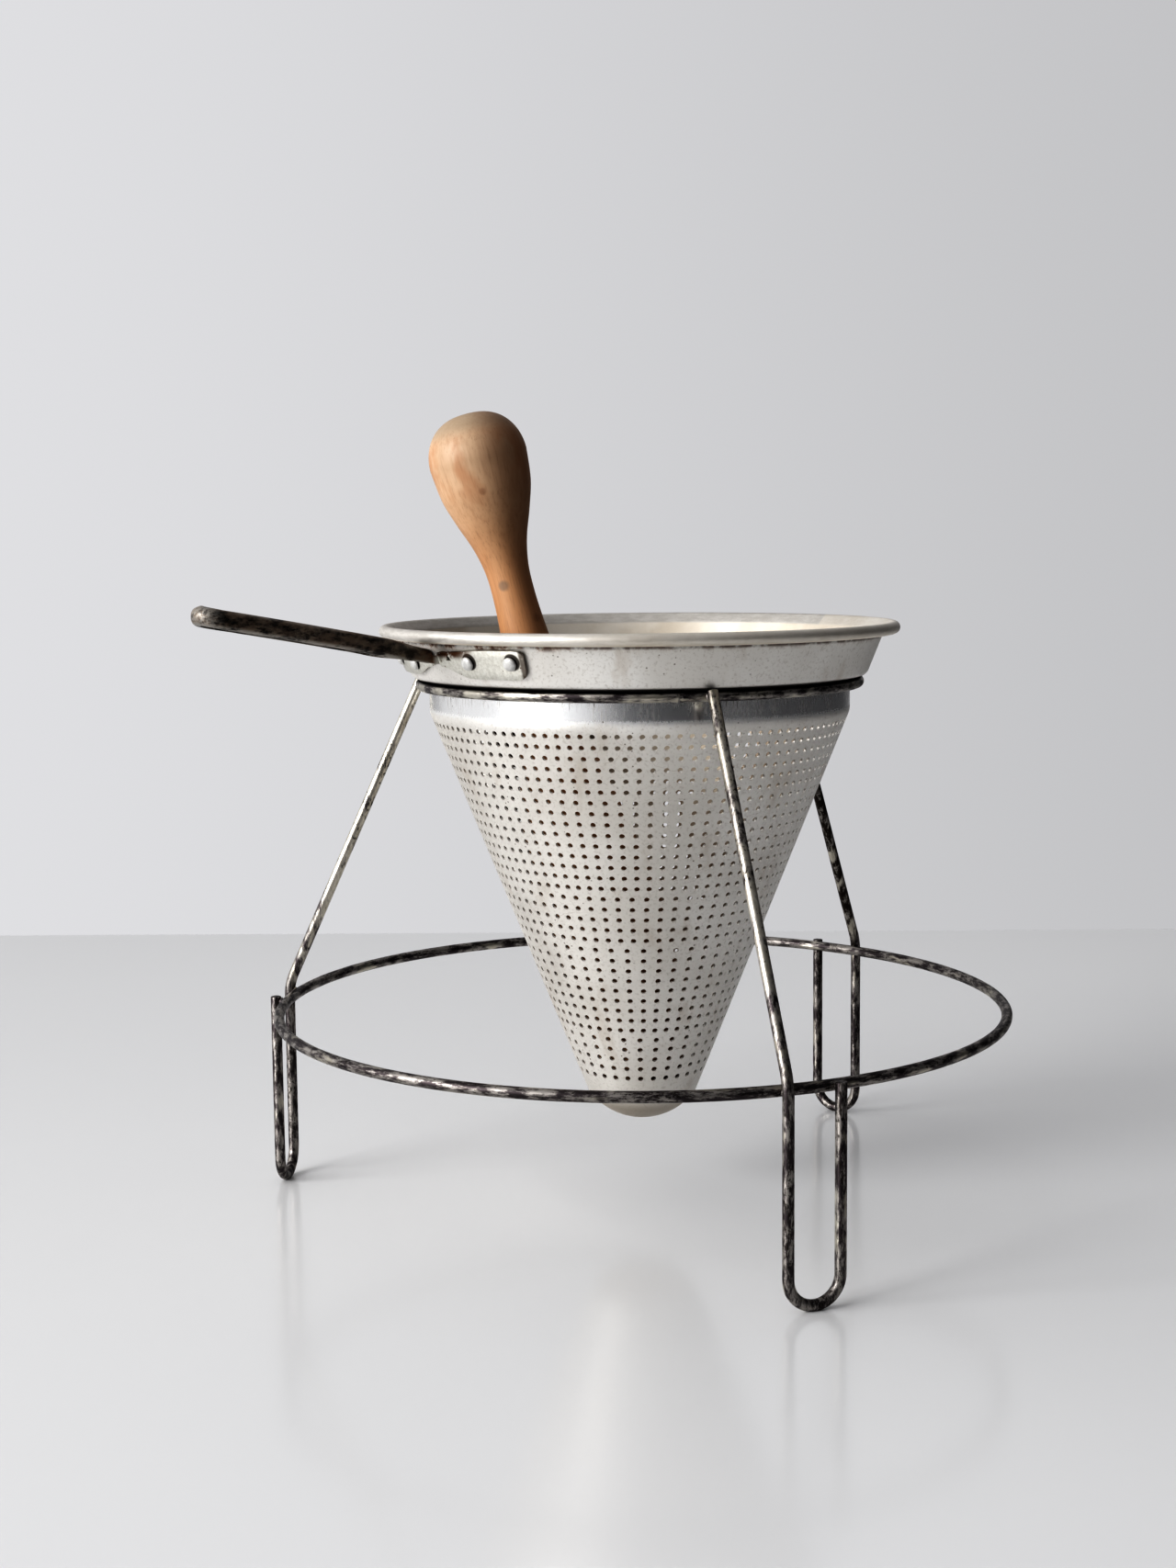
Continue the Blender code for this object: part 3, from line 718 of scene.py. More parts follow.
def make_stand():
    finish = wire_finish()
    size = (WIRE_RADIUS, 720, WIRE_SIDES, BUTT_WELD, True)
    top = place("top_ring_wire", hoop("ring", TOP_RING_RADIUS, TOP_RING_HEIGHT, *size))
    dress(top, "stand", "stand_top_ring", "wire_steel", finish)
    size = (WIRE_RADIUS, 240, WIRE_SIDES, LEG_ANGLES[0])
    bottom = place("bottom_ring_wire", hoop("ring", BOTTOM_RING_RADIUS, BOTTOM_RING_HEIGHT, *size))
    dress(bottom, "stand", "stand_bottom_ring", "wire_steel", finish)
    for number, (foot, age) in enumerate(zip(FEET, LEG_AGES), start=1):
        make_leg(number, foot, wire_finish(age))


def make_rim_wire(finish):
    wire = hoop("core", RIM_RADIUS - BEAD_RADIUS, BEAD_HEIGHT, RIM_WIRE_RADIUS, 240, 14, 0.0)
    dress(place("rim_core_wire", wire), "rim_core", "rim_wire", "core_steel", finish)


# ---------------------------------------------------------------- handle and rivets


def on_band(angle, height, offset):
    """A point off the band's outer face. The angle is taken from the handle's own direction."""
    radius = band_radius(height) + offset * math.cos(CONE_ANGLE)
    return polar(radius, math.pi + angle, height - offset * math.sin(CONE_ANGLE))


def handle_height(reach):
    """Height of the channel's middle at a distance from the cone's axis."""
    along = reach - HANDLE_ROOT
    return HANDLE_ROOT_HEIGHT + HANDLE_SLOPE * along - HANDLE_CURVE * along**2


def wing_edges(angle):
    """Lower and upper height of the wings' outline: narrow at the neck, rounded at the ends."""
    away = abs(angle)
    bottom_share = smooth_step((away - WING_ROOT) / WING_BOTTOM_REACH)
    top_share = smooth_step((away - WING_ROOT) / WING_TOP_REACH)
    bottom = WING_ROOT_BOTTOM + (WING_BOTTOM - WING_ROOT_BOTTOM) * bottom_share
    top = WING_ROOT_TOP + (WING_TOP - WING_ROOT_TOP) * top_share
    into_corner = (away - (WING_ANGLE - WING_CORNER)) / WING_CORNER
    if into_corner > 0:
        corner = WING_CORNER * BAND_RADIUS
        trim = corner * (1 - math.sqrt(max(0.0, 1 - min(into_corner, 1.0) ** 2)))
        bottom += trim
        top -= trim * 0.6
    return bottom, top


def channel_size(reach):
    """Half width and half depth of the channel's middle surface, and how far its edges roll in."""
    share = smooth_step((reach - HANDLE_ROOT - 3 * MM) / NECK_LENGTH)
    half_width = (NECK_WIDTH + (HANDLE_WIDTH - NECK_WIDTH) * share - SKIN) / 2
    half_depth = (NECK_DEPTH + (HANDLE_DEPTH - NECK_DEPTH) * share) / 2
    rolled = smooth_step((reach - HANDLE_ROOT - 10 * MM) / NECK_LENGTH)
    return half_width, half_depth, rolled


def channel_section(reach, nose):
    """Half of a cross-section, from the rolled lower edge round the wall to the middle of the web.

    nose goes from 0 to 1 round the nose's quarter circle, in plan.
    """
    body_end = HANDLE_REACH - NOSE_LENGTH
    half_width, half_depth, rolled = channel_size(min(reach, body_end))
    inward = Vector((math.sin(nose * math.pi / 2), math.cos(nose * math.pi / 2)))
    base = Vector((body_end if nose > 0 else reach, 0))
    out = Vector(((NOSE_LENGTH - SKIN / 2) * inward.x, half_width * inward.y))
    middle = handle_height(base.x + out.x)
    top = middle + half_depth - SKIN / 2
    bottom = middle - half_depth + rolled * SKIN / 2
    blunt = smooth_step(nose * 1.5 - 0.5)
    full = (top - bottom) / 2
    top_bend = min(SHOULDER_BEND, half_width * 0.75)
    top_bend += (full - top_bend) * blunt
    bottom_bend = ROLL_BEND + (full - ROLL_BEND) * blunt
    curl = rolled * ROLL_TURN
    wall_end = bottom + bottom_bend * math.sin(min(curl, math.pi / 2))
    section = []
    for number in range(ROLL_STEPS, 0, -1):
        angle = curl * number / ROLL_STEPS
        spot = out - inward * bottom_bend * (1 - math.cos(angle))
        section.append((spot, wall_end - bottom_bend * math.sin(angle)))
    for share in (0, 0.5, 1):
        section.append((out, wall_end + (top - top_bend - wall_end) * share))
    for number in range(1, 6):
        angle = math.pi / 2 * number / 5
        spot = out - inward * top_bend * (1 - math.cos(angle))
        section.append((spot, top - top_bend * (1 - math.sin(angle))))
    lean = math.tan(CONE_ANGLE) * max(0.0, 1 - (reach - HANDLE_ROOT) / NECK_LENGTH)
    spots = [
        Vector((-(base.x + spot.x) - lean * (height - middle), spot.y, height))
        for spot, height in section
    ]
    crown = 0.25 * MM * min(1.0, half_width / (7 * MM))
    crown_x = base.x + max(0.0, out.x - inward.x * top_bend) + lean * (top - middle)
    return spots + [Vector((-crown_x, 0, top + crown))]


def wing_stations():
    """(share round the bend, angle along the band) from the web's end to the wing's tip."""
    bend = [(share / 8, None) for share in range(1, 9)]
    flat = [(1, WING_ANGLE * (0.15 + 0.75 * share / 22)) for share in range(23)]
    corner = [
        (1, WING_ANGLE - WING_CORNER * (1 - math.sin(math.pi / 2 * share)))
        for share in (0.2, 0.4, 0.6, 0.8, 0.93, 1)
    ]
    return bend + flat + corner


def wing_column(station, start_edges):
    """Points of one column of the wall where it turns out and lies on the band."""
    share, angle = station
    bottom, top = wing_edges(FOLD_ANGLE if angle is None else angle)
    if angle is None:
        bottom = start_edges[0] + (bottom - start_edges[0]) * smooth_step(share)
        top = start_edges[1] + (top - start_edges[1]) * smooth_step(share)
    spots = []
    for row in range(WING_ROWS):
        height = bottom + (top - bottom) * (row / (WING_ROWS - 1))
        if angle is not None:
            spot = on_band(angle, height, WING_OFFSET)
            spots.append(Vector((spot.x, abs(spot.y), spot.z)))
            continue
        radius = band_radius(height) + WING_OFFSET * math.cos(CONE_ANGLE)
        centre_y = (NECK_WIDTH - SKIN) / 2 + WING_BEND
        centre_x = math.sqrt((radius + WING_BEND) ** 2 - centre_y**2)
        turn = (math.pi / 2 - math.asin(centre_y / (radius + WING_BEND))) * share
        x = centre_x - WING_BEND * math.sin(turn)
        y = centre_y - WING_BEND * math.cos(turn)
        spots.append(Vector((-x, y, height - WING_OFFSET * math.sin(CONE_ANGLE) * share)))
    return spots


def handle_surface():
    """Half of the handle's middle surface: columns of points along the channel, and in the wing."""
    body_end = HANDLE_REACH - NOSE_LENGTH
    reaches = [WEB_END + NECK_LENGTH * share / 14 for share in range(15)]
    rest = body_end - WEB_END - NECK_LENGTH
    reaches += [WEB_END + NECK_LENGTH + rest * share / 16 for share in range(1, 17)]
    columns = [channel_section(reach, 0) for reach in reaches]
    columns += [channel_section(body_end, share / 12) for share in range(1, 13)]
    start_edges = (columns[0][ROLL_STEPS].z, columns[0][ROLL_STEPS + 2].z)
    wing = [wing_column(station, start_edges) for station in wing_stations()]
    return columns, wing


def make_handle(finish):
    columns, wing = handle_surface()
    shape = bmesh.new()

    def add_half(side):
        def vert(spot):
            return shape.verts.new((spot.x, spot.y * side, spot.z))

        def quad(*corners):
            corners = list(dict.fromkeys(corners))
            if len(corners) > 2:
                shape.faces.new(corners if side > 0 else corners[::-1])

        grid = [[vert(spot) for spot in column] for column in columns]
        for here, there in zip(grid, grid[1:]):
            for row in range(len(here) - 1):
                quad(here[row], here[row + 1], there[row + 1], there[row])
        # The wall's three points are five in the wing.
        wall = grid[0][ROLL_STEPS : ROLL_STEPS + 3]
        wing_grid = [[vert(spot) for spot in column] for column in wing]
        root = wing_grid[0]
        for low in (0, 1):
            quad(wall[low], root[2 * low], root[2 * low + 1])
            quad(wall[low], root[2 * low + 1], root[2 * low + 2], wall[low + 1])
        for here, there in zip(wing_grid, wing_grid[1:]):
            for row in range(len(here) - 1):
                quad(here[row], there[row], there[row + 1], here[row + 1])

    add_half(1)
    add_half(-1)
    bmesh.ops.remove_doubles(shape, verts=shape.verts, dist=0.01 * MM)
    bmesh.ops.recalc_face_normals(shape, faces=shape.faces)
    handle = place("pressed_handle", poured(shape, bpy.data.meshes.new("pressed_handle")))
    modify(handle, "SOLIDIFY", thickness=SKIN, offset=0.0, use_even_offset=True)
    drill = SHANK_RADIUS + GAP / 2
    helpers = [cutter("drill", drill, DRILL_REACH, 24, rivet_frame(*rivet)) for rivet in RIVETS]
    angle, height, size = NOTCH
    for side in (-1, 1):
        spot = rivet_frame(side * angle, height) @ Matrix.Rotation(math.pi / 2, 4, "Z")
        helpers.append(cutter("notch", size, NOTCH_REACH, 3, spot))
    reach = HANDLE_REACH - HANG_HOLE_INSET
    spot = Matrix.Translation((-reach, 0, handle_height(reach)))
    helpers.append(cutter("hang_hole", HANG_HOLE_RADIUS, HANG_HOLE_REACH, 48, spot))
    cut(handle, helpers)
    bevel = modify(handle, "BEVEL", width=HANDLE_BEVEL, segments=2, limit_method="ANGLE")
    bevel.angle_limit = math.radians(50)
    settle(handle, helpers, 40.0)
    dress(handle, "sieve", "handle", "handle_steel", finish)


def rivet_frame(angle, height):
    """Places a rivet: origin on the band's outer face, +Z out of it."""
    out = polar(math.cos(CONE_ANGLE), math.pi + angle, -math.sin(CONE_ANGLE))
    turn = out.to_track_quat("Z", "Y").to_matrix().to_4x4()
    return Matrix.Translation(on_band(angle, height, 0)) @ turn


def rivet_outline():
    """Half section, from the domed tail inside the band to the top of the head."""
    head_seat = 2 * GAP + 0.1 * MM + SKIN
    tail_seat = -SHEET - GAP
    outline = [Vector((0, tail_seat - TAIL_HEIGHT))]
    for number in range(8):
        angle = math.pi / 2 * (number + 1) / 8
        height = tail_seat - TAIL_HEIGHT * math.cos(angle) ** 0.7
        outline.append(Vector((HEAD_RADIUS * math.sin(angle), height)))
    outline.append(Vector((SHANK_RADIUS, tail_seat)))
    outline.append(Vector((SHANK_RADIUS, head_seat)))
    for number in range(12):
        angle = math.pi / 2 * number / 12
        height = head_seat + HEAD_HEIGHT * math.sin(angle) ** 0.85
        outline.append(Vector((HEAD_RADIUS * math.cos(angle), height)))
    outline.append(Vector((0, head_seat + HEAD_HEIGHT)))
    return outline


def make_rivets(finish):
    for number, (angle, height) in enumerate(RIVETS, start=1):
        mesh = turned("rivet", rivet_outline(), 40, 50.0)
        rivet = place(f"rivet_domed_{number}", mesh, rivet_frame(angle, height))
        dress(rivet, "sieve", f"rivet_{number}", "rivet_metal", finish)


# ---------------------------------------------------------------- pestle


def wall_distance(along):
    """Distance from the pestle's axis to the cone's inner face, so far along from its lower end."""
    lean = math.acos(PESTLE_AXIS.z)
    height = PESTLE_CROSSING + (along - PESTLE_END) * math.cos(lean)
    out = (along - PESTLE_END) * math.sin(lean)
    radius = cone_radius(height) - SHEET / math.cos(CONE_ANGLE)
    return (radius - out) * math.cos(CONE_ANGLE)


def pestle_outline():
    """Half section from the lower end to the top: roller, neck and knob."""
    length = PESTLE_LENGTH
    contact_low = wall_distance(24 * MM) - ROLLER_GAP
    contact_high = wall_distance(60 * MM) - ROLLER_GAP
    knots = [
        (24 * MM, contact_low),
        (42 * MM, (contact_low + contact_high) / 2),
        (60 * MM, contact_high),
        (76 * MM, 26.2 * MM),
        (100 * MM, 23.6 * MM),
        (128 * MM, 18.6 * MM),
        (160 * MM, 13.0 * MM),
        (185 * MM, 10.1 * MM),
        (length - 83 * MM, 8.7 * MM),
        (length - 72 * MM, 8.15 * MM),
        (length - 62 * MM, 8.5 * MM),
        (length - 52 * MM, 10.6 * MM),
        (length - 41.5 * MM, 14.4 * MM),
        (length - 31 * MM, 17.6 * MM),
        (length - 19 * MM, 19.0 * MM),
    ]
    outline = [Vector((0, 0))]
    for number in range(1, 21):
        angle = math.pi / 2 * number / 21
        rise = knots[0][0] * (1 - math.cos(angle) ** 1.25)
        outline.append(Vector((contact_low * math.sin(angle), rise)))
    outline += smooth_curve([Vector((radius, along)) for along, radius in knots], 6)
    crown_along, crown_radius = knots[-1]
    for number in range(1, 21):
        angle = math.pi / 2 * number / 21
        rise = (length - CROWN_DROP - crown_along) * math.sin(angle)
        outline.append(Vector((crown_radius * math.cos(angle) ** 0.8, crown_along + rise)))
    outline.append(Vector((0, length - CROWN_DROP)))
    return outline


def make_pestle(finish):
    end = Vector((0, 0, PESTLE_CROSSING)) - PESTLE_AXIS * PESTLE_END
    tilt = Vector((0, 0, 1)).rotation_difference(PESTLE_AXIS).to_matrix().to_4x4()
    mesh = turned("turned_pestle", pestle_outline(), 96, 60.0)
    pestle = place("turned_pestle", mesh, Matrix.Translation(end) @ tilt)
    dress(pestle, "pestle", "pestle", "maple", finish)


# ---------------------------------------------------------------- finishes


class Nodes:
    """Builds a node tree, one node at a time."""

    def __init__(self, tree):
        self.tree = tree

    def feed(self, socket, value):
        if isinstance(value, bpy.types.NodeSocket):
            self.tree.links.new(value, socket)
        elif hasattr(value, "__len__") and len(value) == 3 and socket.type == "RGBA":
            socket.default_value = (*value, 1.0)
        else:
            socket.default_value = value

    def node(self, kind, inputs=(), **settings):
        made = self.tree.nodes.new("ShaderNode" + kind)
        for name, value in settings.items():
            setattr(made, name, value)
        for key, value in dict(inputs).items():
            self.feed(made.inputs[key], value)
        return made

    def math(self, operation, *values, clamp=False):
        inputs = dict(enumerate(values))
        return self.node("Math", inputs, operation=operation, use_clamp=clamp).outputs[0]

    def vector(self, operation, inputs, output="Vector"):
        return self.node("VectorMath", inputs, operation=operation).outputs[output]

    def length(self, first, second):
        """The hypotenuse over two sides."""
        square = self.times(second, second)
        return self.math("SQRT", self.math("MULTIPLY_ADD", first, first, square))

    def times(self, first, *others):
        for other in others:
            first = self.math("MULTIPLY", first, other)
        return first

    def span(self, value, low, high, to_low=0.0, to_high=1.0):
        """The value's place between low and high, smoothly, as to_low to to_high."""
        inputs = {0: value, 1: low, 2: high, 3: to_low, 4: to_high}
        return self.node("MapRange", inputs, interpolation_type="SMOOTHSTEP").outputs[0]

    def fall(self, value, low, high):
        """1 up to low, and 0 from high on."""
        return self.span(value, low, high, 1.0, 0.0)

    def belt(self, value, base, *edges):
        """Rises over the first two edges and falls over the other two, in millimetres from base."""
        start, full, last, end = (base + edge * MM for edge in edges)
        return self.times(self.span(value, start, full), self.fall(value, last, end))

    def mix(self, factor, first, second):
        inputs = {0: factor, 6: first, 7: second}
        return self.node("Mix", inputs, data_type="RGBA").outputs[2]

    def two_tone(self, value, low, high, first, second):
        return self.mix(self.span(value, low, high), first, second)

    def stain(self, colour, amount, tint, strength=None):
        """The colour with a tint laid over it by an amount, and as strongly as is given."""
        return self.mix(amount if strength is None else self.times(amount, strength), colour, tint)


def new_material(name):
    material = bpy.data.materials.new(name)
    material.use_nodes = True
    return material


class Finish(Nodes):
    """One procedural material, in the coordinates of the piece that wears it."""

    def __init__(self, name, metallic=1.0):
        self.material = new_material(name)
        super().__init__(self.material.node_tree)
        self.shader = self.tree.nodes["Principled BSDF"]
        self.feed(self.shader.inputs["Metallic"], metallic)
        self.coords = self.node("TexCoord").outputs["Object"]
        self.x, self.y, self.z = self.node("SeparateXYZ", {0: self.coords}).outputs

    def done(self, colour, roughness, *relief):
        """Sets the shader and gives the material; relief is (height, strength, distance) layers."""
        self.feed(self.shader.inputs["Base Color"], colour)
        self.feed(self.shader.inputs["Roughness"], roughness)
        normal = None
        for height, strength, distance in relief:
            inputs = {"Height": height, "Strength": strength, "Distance": distance}
            if normal is not None:
                inputs["Normal"] = normal
            normal = self.node("Bump", inputs).outputs[0]
        self.feed(self.shader.inputs["Normal"], normal)
        return self.material

    def noise(self, scale, detail=4.0, rough=0.55, stretch=(1, 1, 1), shift=0.0, vector=None):
        """Noise with so many features to a metre; a stretch under 1 draws it out along an axis."""
        inputs = {0: vector or self.coords, 1: (shift, shift * 0.7, shift * 1.3), 3: stretch}
        moved = self.node("Mapping", inputs).outputs[0]
        inputs = {"Vector": moved, "Scale": scale, "Detail": detail, "Roughness": rough}
        return self.node("TexNoise", inputs).outputs["Fac"]

    def around(self, stretch):
        """Coordinates unrolled from the axis: (angle, 0, height times stretch)."""
        angle = self.math("ARCTAN2", self.y, self.x)
        return self.node("CombineXYZ", {0: angle, 2: self.times(self.z, stretch)}).outputs[0]

    def from_axis(self):
        """The distance from the piece's own axis."""
        return self.length(self.x, self.y)

    def bearing(self):
        """The angle about the cone's axis from the handle's direction, in radians."""
        return self.math("ARCTAN2", self.times(self.y, -1.0), self.times(self.x, -1.0))

    def round_rivets(self, bearing, start, end):
        """1 within start of a rivet, falling to 0 at end; this painted shadow sits a little to one
        side.
        """
        total = 0.0
        for angle, height in RIVETS:
            turn = self.math("SUBTRACT", bearing, angle + RIVET_SHADOW_SHIFT)
            away = self.length(self.math("SUBTRACT", self.z, height), self.times(turn, BAND_RADIUS))
            total = self.math("MAXIMUM", self.fall(away, start, end), total)
        return total

    def specks(self, scale, size):
        """Small round spots, 1 inside a spot and 0 outside it."""
        inputs = {"Vector": self.coords, "Scale": scale, "Randomness": 1.0}
        return self.fall(self.node("TexVoronoi", inputs).outputs["Distance"], size * 0.6, size)

    def scratches(self, scale, width):
        """Thin wandering lines, broken off where a noise is low."""
        inputs = {"Vector": self.coords, "Scale": scale * 2, "Detail": 3.0}
        sway = self.node("TexNoise", inputs).outputs["Color"]
        sway = self.vector("SCALE", {0: sway, "Scale": 0.5 / scale})
        inputs = {"Vector": self.vector("ADD", {0: self.coords, 1: sway}), "Scale": scale}
        cells = self.node("TexVoronoi", inputs, feature="DISTANCE_TO_EDGE")
        broken = self.span(self.noise(scale * 0.9, 2, 0.5, shift=7.0), 0.52, 0.60)
        return self.times(self.fall(cells.outputs["Distance"], width * 0.4, width), broken)


def sieve_outside_finish():
    """Spun aluminium: dull and pitted on the cone and band, polished and scratched on the strip."""
    made = Finish("sieve_outside")
    z, bearing = made.z, made.bearing()
    broad = made.noise(28, 3, 0.5)
    fine = made.noise(900, 3, 0.6)
    smear = made.noise(75, 4, 0.6, (1, 1, 0.45), 3.0)
    hairs = made.noise(110, 5, 0.7, vector=made.around(0.7))
    patchy = made.noise(190, 5, 0.7)

    # The dull metal, darker towards the handle on the cone below the strip.
    colour = made.two_tone(broad, 0.35, 0.65, (0.71, 0.69, 0.655), (0.80, 0.785, 0.755))
    colour = made.stain(colour, made.span(smear, 0.54, 0.72, 0.0, 0.35), (0.47, 0.40, 0.33))
    darker_by_handle = made.span(made.math("COSINE", bearing), 0.1, 0.9, 0.05, 0.34)
    colour = made.stain(colour, darker_by_handle, (0.52, 0.485, 0.43), made.fall(z, 187 * MM, 192 * MM))
    colour = made.stain(colour, made.span(fine, 0.50, 0.72, 0.0, 0.35), (0.42, 0.385, 0.34))

    # The strip, with a ragged lower edge, scratches below its top edge and dirt that ran down it.
    ragged = made.math("MULTIPLY_ADD", made.math("SUBTRACT", hairs, 0.5), 4 * MM, z)
    strip = made.span(ragged, STRIP_BOTTOM, STRIP_BOTTOM + 3.5 * MM)
    strip = made.times(strip, made.fall(z, STRIP_TOP, STRIP_TOP + MM))
    colour = made.stain(colour, strip, (0.76, 0.765, 0.775), 0.75)
    depth = made.noise(9, 2, 0.6, vector=made.around(0.2))
    reach = made.span(depth, 0.35, 0.65, STRIP_BOTTOM - MM, 199 * MM)
    scratched = made.span(made.math("SUBTRACT", z, reach), 0.0, 2 * MM)
    scratched = made.times(strip, scratched, made.span(hairs, 0.46, 0.62))
    colour = made.stain(colour, scratched, (0.36, 0.32, 0.28), 0.30)
    drips = made.times(made.span(z, 195 * MM, 202 * MM), strip, made.span(hairs, 0.56, 0.66))
    colour = made.stain(colour, drips, (0.035, 0.03, 0.028), 0.85)

    # Pits and fine cracks, a darker tip, and painted shade with packed dirt above the top ring.
    pitted = made.times(made.specks(330, 0.13), made.span(made.noise(60, 2), 0.5, 0.62))
    colour = made.stain(colour, pitted, (0.13, 0.10, 0.08), 0.7)
    crazed = made.times(made.scratches(38, 0.004), made.fall(z, 190 * MM, 196 * MM))
    colour = made.stain(colour, crazed, (0.30, 0.22, 0.16), 0.3)
    # Darker and browner towards the tip.
    tip = made.fall(z, CREASE_HEIGHT - 5 * MM, CREASE_HEIGHT + 2 * MM)
    colour = made.stain(colour, tip, (0.30, 0.255, 0.20), 0.7)
    # Painted shade, with packed dirt, near black on the band's foot in the gap above the top ring.
    dirt_and_gap_shade = made.belt(z, SHOULDER_HEIGHT, -3.0, -1.5, 0.1, 1.1)
    colour = made.stain(colour, dirt_and_gap_shade, (0.018, 0.015, 0.012), 0.93)

    # The bead: marks of turning, painted shade towards the handle, with painted shade in the crease
    # and rust under it.
    bead = made.span(z, BEAD_FOOT, BEAD_FOOT + MM)
    turning = made.span(made.noise(14, 5, 0.65, vector=made.around(50.0)), 0.42, 0.60, 0.1, 0.65)
    colour = made.stain(colour, bead, (0.34, 0.315, 0.285), turning)
    # Painted shade on the bead's lit side, towards the handle.
    painted_shade_by_handle = made.span(bearing, math.radians(15), math.radians(62), 0.62, 0.0)
    colour = made.stain(colour, bead, (0.27, 0.24, 0.21), painted_shade_by_handle)
    # Painted shade along the crease under the bead, broken up by a noise.
    painted_crease_shade = made.belt(z, BEAD_FOOT, -1.4, -0.4, 0.2, 0.9)
    painted_crease_shade = made.times(painted_crease_shade, made.span(patchy, 0.36, 0.56, 0.25, 0.8))
    colour = made.stain(colour, painted_crease_shade, (0.10, 0.075, 0.06))
    near_handle = made.span(made.math("ABSOLUTE", bearing), 0.42, 0.75, 1.0, 0.22)
    under_rim = made.belt(z, BEAD_FOOT, -2.5, -1.0, 0.8, 1.8)
    rust = made.times(under_rim, near_handle, made.span(patchy, 0.47, 0.62))
    rust = made.math("MAXIMUM", rust, made.times(bead, 0.8, made.span(patchy, 0.64, 0.70)))
    rusty = made.two_tone(patchy, 0.50, 0.62, (0.40, 0.22, 0.12), (0.12, 0.045, 0.02))
    colour = made.stain(colour, rust, rusty, 0.85)

    made.feed(made.shader.inputs["Metallic"], made.math("MAXIMUM", strip, 0.72))
    dull = made.span(broad, 0.3, 0.7, 0.44, 0.54)
    polished = made.span(scratched, 0.0, 1.0, 0.22, 0.36)
    rough = made.node("Mix", {0: strip, 2: dull, 3: polished}).outputs[0]
    rough = made.math("ADD", rough, made.times(rust, 0.35), clamp=True)
    relief = [(broad, 0.25, 1.2 * MM), (fine, 0.18, 0.05 * MM), (hairs, 0.06, 0.08 * MM)]
    return made.done(colour, rough, *relief, (pitted, -0.5, 0.08 * MM), (crazed, -0.3, 0.05 * MM))


def sieve_inside_finish():
    """The inner face: creamy round the mouth; down in the cone, painted shade in dark brown, and
    painted light on one side.
    """
    made = Finish("sieve_inside", 0.7)
    bearing = made.bearing()
    broad = made.noise(35, 4, 0.55)
    turning = made.noise(60, 2, 0.5, vector=made.around(22.0))
    rolled = made.noise(14, 5, 0.65, vector=made.around(50.0))
    mouth = made.two_tone(broad, 0.35, 0.65, (0.68, 0.62, 0.53), (0.80, 0.755, 0.68))
    worn = made.two_tone(rolled, 0.40, 0.60, (0.52, 0.50, 0.47), (0.60, 0.58, 0.55))
    # The inner bead is greyed with turning marks, and more strongly towards the handle as painted
    # shade.
    painted_shade_by_handle = made.span(bearing, math.radians(10), math.radians(60), 0.9, 0.45)
    bead = made.span(made.z, BEAD_FOOT + 0.3 * MM, BEAD_FOOT + 1.3 * MM)
    mouth = made.stain(mouth, bead, worn, painted_shade_by_handle)
    # Painted shade, dark brown, down in the cone, and lighter painted light on the side that the
    # light reaches.
    painted_shade_low = made.two_tone(broad, 0.35, 0.65, (0.028, 0.016, 0.012), (0.065, 0.040, 0.030))
    painted_light_low = made.two_tone(broad, 0.35, 0.65, (0.34, 0.28, 0.22), (0.52, 0.46, 0.38))
    toward_painted_light = made.math("COSINE", made.math("SUBTRACT", bearing, PAINTED_LIGHT_SIDE))
    painted_shade_low = made.two_tone(toward_painted_light, 0.50, 0.66, painted_shade_low, painted_light_low)
    colour = made.two_tone(made.z, 196 * MM, 209 * MM, painted_shade_low, mouth)
    rough = made.span(turning, 0.3, 0.7, 0.42, 0.55)
    return made.done(colour, rough, (turning, 0.10, 0.15 * MM), (broad, 0.2, 0.8 * MM))


